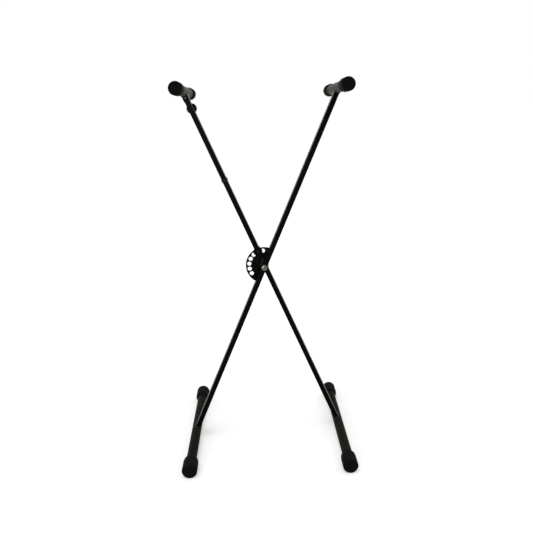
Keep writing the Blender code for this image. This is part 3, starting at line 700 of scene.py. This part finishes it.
def make_arm_sleeve(node, body, tube_node):
    """A rubber sleeve with a rolled mouth, a straight barrel and a shallow dished end face."""
    direction, centre, mouth, tip = rubber_end(node, tube_node)
    lip_end = mouth + SLEEVE_LIP
    stations = [(lip_end, RUBBER_BORE), (mouth, RUBBER_BORE + SLEEVE_LIP)]
    stations += arc(lip_end, SLEEVE_RADIUS - SLEEVE_LIP, SLEEVE_LIP, SLEEVE_LIP, -90, 0, 5)
    stations += [(mouth + SLEEVE_FIRST_RING, SLEEVE_RADIUS), (tip - SLEEVE_LAST_RING, SLEEVE_RADIUS)]
    stations += end_corner(tip, SLEEVE_RADIUS, SLEEVE_CORNER, 8)
    stations += end_dish(tip, *SLEEVE_DISH)
    bore_depth = tip - RUBBER_END_WALL - lip_end
    sleeve = mould(node, direction, centre, stations, bore_depth, SLEEVE_RIDGE, SLEEVE_RADIUS)
    hold(smooth(sleeve, angle=40), body, "black_rubber", RUBBER, node)


def make_foot(node, body, tube_node):
    """A fat rubber foot: rolled mouth, round shoulder, straight barrel, rounded end and moulded flat."""
    direction, centre, mouth, tip = rubber_end(node, tube_node)
    lip_end = mouth + FOOT_LIP
    lip = RUBBER_BORE + FOOT_LIP_WIDTH
    stations = [(lip_end, RUBBER_BORE), (mouth, RUBBER_BORE + FOOT_LIP_EDGE), (mouth, lip)]
    stations += arc(mouth + FOOT_SHOULDER_END, lip, FOOT_RADIUS - lip, FOOT_SHOULDER, -90, 0, 12)[1:]
    stations += [(mouth + FOOT_FIRST_RING, FOOT_RADIUS), (tip - FOOT_LAST_RING, FOOT_RADIUS)]
    stations += end_corner(tip, FOOT_RADIUS, FOOT_CORNER, 10)
    stations += end_dish(tip, *FOOT_DISH)
    bore_depth = tip - RUBBER_END_WALL - lip_end
    foot = mould(node, direction, centre, stations, bore_depth, FOOT_RIDGE, FOOT_RADIUS)
    edit(foot)
    bpy.ops.mesh.bisect(plane_co=(0, 0, FLOOR_GAP), plane_no=(0, 0, -1), use_fill=True, clear_outer=True,
                        threshold=0.000001)
    outward(foot)
    hold(smooth(foot, angle=40), body, "black_rubber", RUBBER, node)


def make_round_tubes():
    for arm_side, foot_side, leg in (("right", "left", "front"), ("left", "right", "rear")):
        body = BODIES[leg]
        arm = arm_side + "_arm_tube"
        floor_tube = foot_side + "_floor_tube"
        make_tube(arm, body)
        make_tube(floor_tube, body)
        for end in ("near", "far"):
            make_arm_sleeve(arm_side + "_arm_cap_" + end, body, arm)
            make_foot(foot_side + "_foot_" + end, body, floor_tube)


# Legs
def box_tube(name, width, depth, wall, corner, bottom, top, middle_y):
    """An upright rectangular tube with rounded corners."""
    obj = block((width, depth, top - bottom), (0, middle_y, (top + bottom) / 2))
    obj.name = name
    edit(obj)
    pick(obj, lambda place, normal: abs(normal.z) > 0.9, "FACE")
    bpy.ops.mesh.delete(type="ONLY_FACE")
    pick(obj, lambda place, along: abs(along.z) > 0.9 * (top - bottom), "EDGE")
    bpy.ops.mesh.bevel(offset=corner, offset_type="OFFSET", segments=5, affect="EDGES")
    outward(obj)
    modify(obj, "SOLIDIFY", thickness=wall, offset=-1, use_even_offset=True, use_rim=True)
    return outward(obj)


def make_leg(leg):
    """A rectangular tube, saddle-cut at both ends for the round tubes, with its bores."""
    middle = LEG_SIDES[leg] * LEG_MIDDLE
    node = leg + "_leg"
    tube = box_tube(node + "_tube", LEG_WIDTH, LEG_DEPTH, LEG_WALL, LEG_CORNER,
                    TUBE_RADIUS / 2 - LEG_DOWN, LEG_UP - TUBE_RADIUS / 2, middle)
    near, far = middle - LEG_DEPTH, middle + LEG_DEPTH
    cut(tube, rod((0, LEG_UP), TUBE_RADIUS + TUBE_GAP, near, far, ROUND))
    cut(tube, rod((0, -LEG_DOWN), TUBE_RADIUS + TUBE_GAP, near, far, ROUND))
    cut(tube, rod((0, 0), BOLT_HOLE_RADIUS, near, far))
    if leg == "rear":
        cut(tube, rod((0, LOCK_RADIUS), PIN_HOLE_RADIUS, near, far))
        cut(tube, rod((0, LEG_UP - KNOB_DROP), STUD_HOLE_RADIUS, middle, far))
        cut(tube, rod((0, LEG_UP - SCREW_DROP), SCREW_HOLE_RADIUS, near, middle))
    lean(tube, leg)
    hold(smooth(tube, angle=40), BODIES[leg], "black_paint", LEG_PAINT, node)


# Welds
def saddle_points(leg, end, wall=0.0):
    """Where an upright leg, grown by wall, meets the round tube across it, as points round the leg.

    end is +1 for the tube at the top and -1 for the one at the foot.
    """
    half_width = LEG_WIDTH / 2 + wall
    half_depth = LEG_DEPTH / 2 + wall
    corner = LEG_CORNER + wall
    outline = []
    for sign_x, sign_y, start in ((1, 1, 0), (-1, 1, 90), (-1, -1, 180), (1, -1, 270)):
        for turn in range(0, 91, 15):
            angle = math.radians(start + turn)
            outline.append((sign_x * (half_width - corner) + corner * math.cos(angle),
                            sign_y * (half_depth - corner) + corner * math.sin(angle)))
    points = []
    for index, (x, y) in enumerate(outline):
        next_x, next_y = outline[(index + 1) % len(outline)]
        count = max(1, round(math.dist((x, y), (next_x, next_y)) / WELD_STEP))
        for part in range(count):
            at_x = x + (next_x - x) * part / count
            at_y = y + (next_y - y) * part / count
            height = math.sqrt(TUBE_RADIUS ** 2 - at_x ** 2)
            along = LEG_UP - height if end > 0 else height - LEG_DOWN
            points.append((at_x, LEG_SIDES[leg] * LEG_MIDDLE + at_y, along))
    return points


def ripple(index):
    """How full the bead is at each stop of the torch."""
    stops = 0.05 * math.cos(2 * math.pi * index / 4)
    drift = 0.04 * math.sin(index * 0.7) + 0.03 * math.sin(index * 0.29)
    return 0.94 + stops + drift


def finish_weld(weld, leg):
    hold(smooth(lean(weld, leg), angle=60), BODIES[leg], "black_paint", WELD_PAINT)


def make_bead(name, leg, end, wall=0.0):
    """A weld bead that runs round a closed seam, with a ripple at each stop of the torch."""
    seam = saddle_points(leg, end, wall)
    fresh()
    bpy.ops.mesh.primitive_circle_add(vertices=len(seam), radius=1, fill_type="NOTHING")
    obj = bpy.context.object
    obj.name = name
    for vertex, point in zip(obj.data.vertices, seam):
        vertex.co = point
    bpy.ops.object.convert(target="CURVE")
    obj = bpy.context.object
    obj.data.bevel_depth = WELD_RADIUS
    obj.data.bevel_resolution = 3
    for index, point in enumerate(obj.data.splines[0].points):
        point.radius = ripple(index)
    bpy.ops.object.convert(target="MESH")
    finish_weld(outward(bpy.context.object), leg)


def make_plate_weld():
    """The short straight weld in the corner between the front leg's side and the lock plate."""
    steps = round((STITCH_HIGH - STITCH_LOW) / STITCH_STEP)
    stations = []
    for step in range(steps + 1):
        along = STITCH_LOW + (STITCH_HIGH - STITCH_LOW) * step / steps
        end_gap = min(along - STITCH_LOW, STITCH_HIGH - along) + 0.0001
        fullness = ripple(step) * min(1.0, math.sqrt(end_gap / STITCH_RADIUS))
        stations.append((along, STITCH_RADIUS * fullness))
    weld = turned("lock_plate_weld", (0, 0), stations, "flat", 32)
    across = -LEG_WIDTH / 2 - STITCH_OFFSET
    plate_front = SEAT_GAP - LEG_HALF_GAP
    weld.matrix_world = (Matrix.Translation((across, plate_front - STITCH_SINK, 0))
                         @ Matrix.Rotation(math.pi / 2, 4, "X"))
    finish_weld(settle(weld), "front")


def make_welds():
    make_bead("front_leg_foot_weld", "front", -1)
    make_bead("rear_leg_foot_weld", "rear", -1)
    make_bead("front_leg_top_weld", "front", 1)
    make_bead("arm_bracket_weld", "rear", 1, BRACKET_WALL)
    make_plate_weld()


# Lock plate
def plate_place(angle):
    """A point on the arc of holes of the upright plate, as (x, z)."""
    return (-LOCK_RADIUS * math.sin(angle), LOCK_RADIUS * math.cos(angle))


def closed_hole(near, far):
    """The tapered hole for the shut stand, wide at the plate's back."""
    x, z = plate_place(CLOSED_ANGLE)
    fresh()
    bpy.ops.mesh.primitive_cone_add(vertices=SMALL_ROUND, radius1=CLOSED_HOLE_FRONT,
                                    radius2=CLOSED_HOLE_BACK, depth=far - near,
                                    location=(x, (near + far) / 2, z), rotation=(-math.pi / 2, 0, 0))
    return settle(bpy.context.object)


def make_lock_plate():
    """A disc cut off along the leg, with its arc of lock holes and the small hole for the shut stand."""
    start, end, _ = span("lock_plate")
    fresh()
    bpy.ops.mesh.primitive_cylinder_add(vertices=PLATE_ROUND, radius=PLATE_RADIUS, depth=PLATE_THICKNESS,
                                        location=(0, (start + end) / 2, 0), rotation=(math.pi / 2, 0, 0))
    plate = settle(bpy.context.object, "lock_plate_cut")
    edit(plate)
    bpy.ops.mesh.bisect(plane_co=(PLATE_OVERLAP, 0, 0), plane_no=(1, 0, 0), use_fill=True, clear_outer=True)
    outward(plate)
    near, far = start - CUT_REACH, end + CUT_REACH
    holes = [rod((0, 0), BOLT_HOLE_RADIUS, near, far)]
    for index in range(1, LOCK_HOLES + 1):
        angle = 2 * HALF_ANGLE + (index - REST_HOLE) * LOCK_STEP
        holes.append(rod(plate_place(angle), LOCK_HOLE_RADIUS, near, far))
    cut(plate, joined(holes))
    cut(plate, closed_hole(start - SEAT_GAP, end + SEAT_GAP))
    soften(plate, PLATE_EDGE, 2, angle=40)
    lean(plate, "front")
    hold(smooth(plate, angle=35), BODIES["front"], "black_paint", LEG_PAINT, "lock_plate")


# Pivot
def make_pivot():
    make_bolt()
    rings = (
        ("pivot_head_washer", HEAD_WASHER_RADIUS, "black_paint", LEG_PAINT),
        ("pivot_rear_washer", REAR_WASHER_RADIUS, "zinc_plate", ZINC),
        ("pivot_spacer", SPACER_RADIUS, "pale_nylon", NYLON),
    )
    for node, radius, slot, material in rings:
        start, end, _ = span(node)
        outer = radius * RING_FIT
        piece = ring(node + "_turned", PIVOT_CENTRE, start, end, outer, BOLT_HOLE_RADIUS, RING_EDGE)
        hold(smooth(piece), BODIES["front"], slot, material, node)
    make_lock_nut()


def make_bolt():
    """A domed head with a hexagon socket, a plain shank and a threaded tail."""
    start, end, _ = span("pivot_bolt")
    head_back = start + HEAD_HEIGHT
    dome = HEAD_HEIGHT - HEAD_RIM
    stations = [(start, 0.0004)]
    stations += arc(start + dome, 0, HEAD_RADIUS, dome, -88, 0, 12)
    stations += [(head_back - 0.0001, HEAD_RADIUS), (head_back, HEAD_RADIUS - 0.0002)]
    stations.append((head_back, BOLT_RADIUS))
    y = end - THREAD_LENGTH
    stations.append((y, BOLT_RADIUS))
    while y + THREAD_PITCH < end - TAIL_LENGTH:
        stations.append((y + THREAD_PITCH / 2, BOLT_RADIUS - THREAD_DEPTH))
        stations.append((y + THREAD_PITCH, THREAD_CREST))
        y += THREAD_PITCH
    stations += [(end - 0.0008, BOLT_RADIUS - 0.0003), (end, BOLT_RADIUS - 0.0010)]
    bolt = turned("pivot_bolt_turned", PIVOT_CENTRE, stations, "flat")
    cut(bolt, rod(PIVOT_CENTRE, SOCKET_FLATS / math.sqrt(3), start - CUT_REACH, start + SOCKET_DEPTH, 6))
    soften(bolt, 0.00015, 2, angle=50)
    hold(smooth(bolt, angle=35), BODIES["front"], "zinc_plate", make_bolt_zinc(start), "pivot_bolt")


def make_bolt_zinc(head_front):
    """The zinc finish with painted shade in the socket and round the head's rim."""
    material = ZINC.copy()
    material.name = "bolt_zinc"
    nodes, links = material.node_tree.nodes, material.node_tree.links
    shader = nodes["Principled BSDF"]
    where = nodes.new("ShaderNodeMapping")
    where.inputs["Location"].default_value = (-PIVOT.x, -head_front, -PIVOT.z)
    links.new(nodes.new("ShaderNodeTexCoord").outputs["Object"], where.inputs["Vector"])
    axes = nodes.new("ShaderNodeSeparateXYZ")
    links.new(where.outputs[0], axes.inputs[0])
    across = math_node(nodes, links, "POWER", axes.outputs["X"], 2.0)
    up = math_node(nodes, links, "POWER", axes.outputs["Z"], 2.0)
    radius = math_node(nodes, links, "SQRT", math_node(nodes, links, "ADD", across, up), 0.0)
    inside = range_node(nodes, links, radius, *SHADE_SOCKET_RADIUS)
    deep = range_node(nodes, links, axes.outputs["Y"], *SHADE_SOCKET_DEPTH)
    socket = math_node(nodes, links, "MULTIPLY", inside, deep)
    rim = range_node(nodes, links, radius, *SHADE_RIM_RANGE)
    # painted shade: the socket and the rim take the dark colour in place of the plain zinc
    painted_shade = math_node(nodes, links, "MAXIMUM", socket, rim)
    unshaded = shader.inputs["Base Color"].links[0].from_socket
    links.new(blend_colour(nodes, links, painted_shade, unshaded, PAINTED_SHADE_COLOUR), shader.inputs["Base Color"])
    return material


def make_lock_nut():
    """A hexagon nut with turned chamfers, a round collar and a nylon insert."""
    start, end, _ = span("pivot_lock_nut")
    flat = NUT_HALF_FLATS
    corner = 2 * flat / math.sqrt(3)
    blank = corner * 1.02
    collar = end - NUT_COLLAR
    seat = end - 0.0008
    stations = [(start, flat), (start + 0.0006, blank), (collar - 0.0008, blank)]
    stations += [(collar - 0.0001, flat * 0.97), (collar, flat * 0.90), (end - 0.0004, flat * 0.88)]
    stations += [(end, flat * 0.82), (end, INSERT_BORE), (seat, INSERT_BORE), (seat, BOLT_HOLE_RADIUS)]
    stations += [(start + 0.0004, BOLT_HOLE_RADIUS), (start, BOLT_HOLE_RADIUS + 0.0004)]
    nut = turned("pivot_lock_nut_turned", PIVOT_CENTRE, stations, "ring")
    middle = (start + end) / 2
    hexagon = rod(PIVOT_CENTRE, corner, middle - 0.01, middle + 0.01, 6)
    cut(nut, soften(hexagon, 0.00025, 3, angle=40), "INTERSECT")
    hold(smooth(nut, angle=30), BODIES["front"], "zinc_plate", ZINC, "pivot_lock_nut")
    insert = ring("lock_nut_insert", PIVOT_CENTRE, end - 0.0007, end - 0.0001, INSERT_BORE - 0.0001,
                  BOLT_RADIUS + 0.0001, 0.0001)
    hold(smooth(insert), BODIES["front"], "pale_nylon", NYLON)


# Lock pin
def make_lock_pin():
    centre = place_on("rear", LOCK_RADIUS)
    start, end, _ = span("pin_guide_ring")
    guide = ring("pin_guide_ring_turned", centre, start, end, GUIDE_RADIUS, PIN_HOLE_RADIUS, 0.0004)
    hold(smooth(guide), BODIES["rear"], "black_paint", LEG_PAINT, "pin_guide_ring")
    start, end, _ = span("pin_rear_bush")
    flange = end - BUSH_FLANGE
    stations = [(start, BUSH_RADIUS), (flange, BUSH_RADIUS), (flange, BUSH_FLANGE_RADIUS),
                (end, BUSH_FLANGE_RADIUS), (end, BUSH_BORE), (start, BUSH_BORE)]
    bush = soften(turned("pin_rear_bush_turned", centre, stations, "ring", SMALL_ROUND), 0.0003)
    hold(smooth(bush), BODIES["rear"], "zinc_plate", ZINC, "pin_rear_bush")
    make_pin_spring(centre)
    make_pull_knob(centre)


def make_pin_spring(centre):
    """The spring round the pin's shank, wound between the pin and the bush."""
    start, end, _ = span("pin_spring")
    x, z = centre
    fresh()
    bpy.ops.mesh.primitive_circle_add(vertices=16, radius=SPRING_WIRE_RADIUS, fill_type="NOTHING",
                                      location=(SPRING_RADIUS, 0, 0))
    spring = settle(bpy.context.object, "pin_spring_wound")
    pitch = (end - start - 2 * SPRING_WIRE_RADIUS) / SPRING_TURNS
    modify(spring, "SCREW", axis="Y", screw_offset=pitch, iterations=SPRING_TURNS, steps=SPRING_STEPS,
           render_steps=SPRING_STEPS)
    edit(spring)
    bpy.ops.mesh.fill_holes(sides=0)
    outward(spring)
    spring.location = (x, start + SPRING_WIRE_RADIUS, z)
    smooth(settle(spring), angle=60)
    paint(spring, SPRING_STEEL)
    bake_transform(spring)
    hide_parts("pin_spring")


def make_pull_knob(centre):
    """A waisted knob with fine grip grooves and a domed back."""
    start, end, _ = span("pull_knob")
    length = end - start
    stations = [(start, PULL_BORE), (start, PULL_WAIST - 0.0006), (start + 0.0006, PULL_WAIST),
                (start + length * 0.42, PULL_WAIST), (start + length * 0.56, PULL_RADIUS - 0.0003),
                (start + length * 0.62, PULL_RADIUS), (end - 0.0016, PULL_RADIUS)]
    stations += end_corner(end, PULL_RADIUS, PULL_CORNER, 6)
    stations += [(end - 0.0001, 0.0036), (end - 0.0004, 0.0032), (end - 0.0004, 0)]
    knob = turned("pull_knob_moulded", centre, stations, "open")
    close_bore(knob, length - PULL_END_WALL)
    cut_grip(knob, centre, start + length * 0.64, end - 0.0018)
    hold(smooth(knob, angle=40), "lock_pin", "black_plastic", KNOB_PLASTIC, "pull_knob")


def cut_grip(knob, centre, start, end):
    """Round grooves along Y, spaced round the pull knob's rim."""
    x, z = centre
    cutters = []
    for index in range(PULL_GROOVES):
        angle = 2 * math.pi * index / PULL_GROOVES
        place = (x + PULL_RADIUS * math.cos(angle) * 1.03, z + PULL_RADIUS * math.sin(angle) * 1.03)
        cutters.append(rod(place, PULL_GROOVE_RADIUS, start, end, 12))
    cut(knob, joined(cutters))


# Bracket screw, hand knob and leg band
def make_bracket_screw():
    """A pan-head screw with a cross recess."""
    start, end, _ = span("bracket_screw")
    centre = place_on("rear", LEG_UP - SCREW_DROP)
    x, z = centre
    head_back = start + SCREW_HEAD_HEIGHT
    dome = SCREW_HEAD_HEIGHT * 0.6
    stations = [(start, 0.0002)]
    stations += arc(start + dome, SCREW_HEAD_RADIUS * 0.45, SCREW_HEAD_RADIUS * 0.55, dome, -90, 0, 6)
    stations += [(head_back, SCREW_HEAD_RADIUS), (head_back, SCREW_RADIUS), (end - 0.0008, SCREW_RADIUS),
                 (end, 0.0006)]
    screw = turned("bracket_screw_turned", centre, stations, "flat", SMALL_ROUND)
    for size in ((CROSS_LENGTH, CROSS_DEPTH, CROSS_WIDTH), (CROSS_WIDTH, CROSS_DEPTH, CROSS_LENGTH)):
        cut(screw, block(size, (x, start, z)))
    hold(smooth(screw, angle=35), BODIES["rear"], "zinc_plate", SCREW_ZINC, "bracket_screw")


def make_hand_knob():
    """A round knob with shallow ribs, a rolled rim and a dished back."""
    start, end, _ = span("hand_knob")
    centre = place_on("rear", LEG_UP - KNOB_DROP)
    x, z = centre
    fresh()
    bpy.ops.mesh.primitive_circle_add(vertices=KNOB_RIBS * KNOB_RIB_SIDES, radius=KNOB_RADIUS,
                                      fill_type="NGON", location=(x, start, z),
                                      rotation=(math.pi / 2, 0, 0))
    knob = settle(bpy.context.object, "hand_knob_moulded")
    for vertex in knob.data.vertices:
        across, up = vertex.co.x - x, vertex.co.z - z
        turn = math.atan2(up, across)
        factor = 1 - KNOB_RIB_DEPTH * (1 - math.cos(KNOB_RIBS * turn)) / 2 / KNOB_RADIUS
        vertex.co.x, vertex.co.z = x + across * factor, z + up * factor
    edit(knob, "FACE")
    bpy.ops.mesh.extrude_region_move(TRANSFORM_OT_translate={"value": (0, end - start, 0)})
    outward(knob)
    soften(knob, KNOB_RIM, 4, angle=60)
    dish = [(end - 0.0008, 0.0050), (end - 0.0006, 0.0074), (end + 0.0006, 0.0110), (end + 0.0030, 0.0110)]
    cut(knob, turned("knob_dish", centre, dish, "flat", SMALL_ROUND))
    cut(knob, rod(centre, STUD_HOLE_RADIUS, start - CUT_REACH, start + KNOB_BORE))
    soften(knob, 0.0002, 2, angle=50)
    hold(smooth(knob, angle=35), "hand_knob", "black_plastic", KNOB_PLASTIC, "hand_knob")
    low, high, _ = span("hand_knob_washer")
    washer = ring("hand_knob_washer_turned", centre, low, high, WASHER_RADIUS, STUD_HOLE_RADIUS, 0.0002)
    hold(smooth(washer), BODIES["rear"], "dark_steel", DARK_STEEL, "hand_knob_washer")


def make_leg_band():
    """A thin band pushed on the rear leg."""
    band = box_tube("leg_band_moulded", LEG_WIDTH + 2 * BAND_FIT, LEG_DEPTH + 2 * BAND_FIT, BAND_WALL,
                    LEG_CORNER + BAND_FIT, BAND_CENTRE - BAND_HEIGHT / 2, BAND_CENTRE + BAND_HEIGHT / 2,
                    LEG_MIDDLE)
    soften(band, 0.0003, 2, angle=50)
    lean(band, "rear")
    hold(smooth(band, angle=40), BODIES["rear"], "black_plastic", KNOB_PLASTIC, "leg_band")


# Floor, light and camera
def seen_rays(nodes, links):
    """1 where the surroundings are seen straight, mirrored or through glass, 0 where they only light."""
    path = nodes.new("ShaderNodeLightPath")
    seen = math_node(nodes, links, "MAXIMUM", path.outputs["Is Camera Ray"], path.outputs["Is Glossy Ray"])
    return math_node(nodes, links, "MAXIMUM", seen, path.outputs["Is Transmission Ray"])


def make_floor():
    """A pale floor that keeps the stand's shadow."""
    fresh()
    bpy.ops.mesh.primitive_plane_add(size=FLOOR_SIZE, location=(0, 0, 0))
    floor = bpy.context.object
    floor.name = "studio_floor"
    edit(floor)
    bpy.ops.mesh.subdivide(number_cuts=3)
    fresh()
    material = bpy.data.materials.new("studio_floor")
    material.use_nodes = True
    nodes, links = material.node_tree.nodes, material.node_tree.links
    nodes.clear()
    output = nodes.new("ShaderNodeOutputMaterial")
    diffuse = nodes.new("ShaderNodeBsdfDiffuse")
    diffuse.inputs["Color"].default_value = (FLOOR_TONE, FLOOR_TONE, FLOOR_TONE, 1)
    glow = nodes.new("ShaderNodeEmission")
    strength = math_node(nodes, links, "MULTIPLY", seen_rays(nodes, links), FLOOR_GLOW)
    links.new(strength, glow.inputs["Strength"])
    both = nodes.new("ShaderNodeAddShader")
    links.new(diffuse.outputs[0], both.inputs[0])
    links.new(glow.outputs[0], both.inputs[1])
    links.new(both.outputs[0], output.inputs["Surface"])
    floor.data.materials.append(material)


def make_world():
    """White where it is seen, and dimmer where it only lights."""
    world = bpy.data.worlds.new("studio")
    bpy.context.scene.world = world
    world.use_nodes = True
    nodes, links = world.node_tree.nodes, world.node_tree.links
    backdrop = nodes["Background"]
    backdrop.inputs["Color"].default_value = (1, 1, 1, 1)
    fill = math_node(nodes, links, "MULTIPLY", seen_rays(nodes, links), 1 - WORLD_LIGHT)
    links.new(math_node(nodes, links, "ADD", fill, WORLD_LIGHT), backdrop.inputs["Strength"])


def aim_lamp(lamp, energy, place):
    """Put a lamp at its place, turned to the pivot."""
    lamp.energy = energy
    obj = bpy.data.objects.new(lamp.name, lamp)
    bpy.context.scene.collection.objects.link(obj)
    obj.location = place
    obj.rotation_euler = (PIVOT - Vector(place)).to_track_quat("-Z", "Y").to_euler()


def make_lamps():
    """Broad soft light from above, a small box that puts a glint on bright metal, and one behind."""
    broad = bpy.data.lights.new("overhead_light", "SUN")
    broad.angle = OVERHEAD_SPREAD
    aim_lamp(broad, OVERHEAD_LIGHT, OVERHEAD_PLACE)
    for name, size, energy, place in (("glint_box", GLINT_SIZE, GLINT_LIGHT, GLINT_PLACE),
                                      ("rear_box", REAR_SIZE, REAR_LIGHT, REAR_PLACE)):
        box = bpy.data.lights.new(name, "AREA")
        box.shape = "SQUARE"
        box.size = size
        aim_lamp(box, energy, place)


def make_camera():
    data = bpy.data.cameras.new("photo_view")
    data.sensor_width = CAMERA_FRAME
    data.lens = CAMERA_LENS
    camera = bpy.data.objects.new("photo_view", data)
    bpy.context.scene.collection.objects.link(camera)
    camera.matrix_world = (Matrix.Translation(CAMERA_PLACE) @ Matrix.Rotation(CAMERA_YAW, 4, "Z")
                           @ Matrix.Rotation(math.pi / 2 - CAMERA_PITCH, 4, "X")
                           @ Matrix.Rotation(CAMERA_ROLL, 4, "Z"))
    bpy.context.scene.camera = camera


make_camera()
finish_solids()
make_round_tubes()
make_leg("front")
make_leg("rear")
make_welds()
make_lock_plate()
make_pivot()
make_lock_pin()
make_bracket_screw()
make_hand_knob()
make_leg_band()
make_floor()
make_world()
make_lamps()
bpy.context.scene.view_settings.view_transform = "Standard"
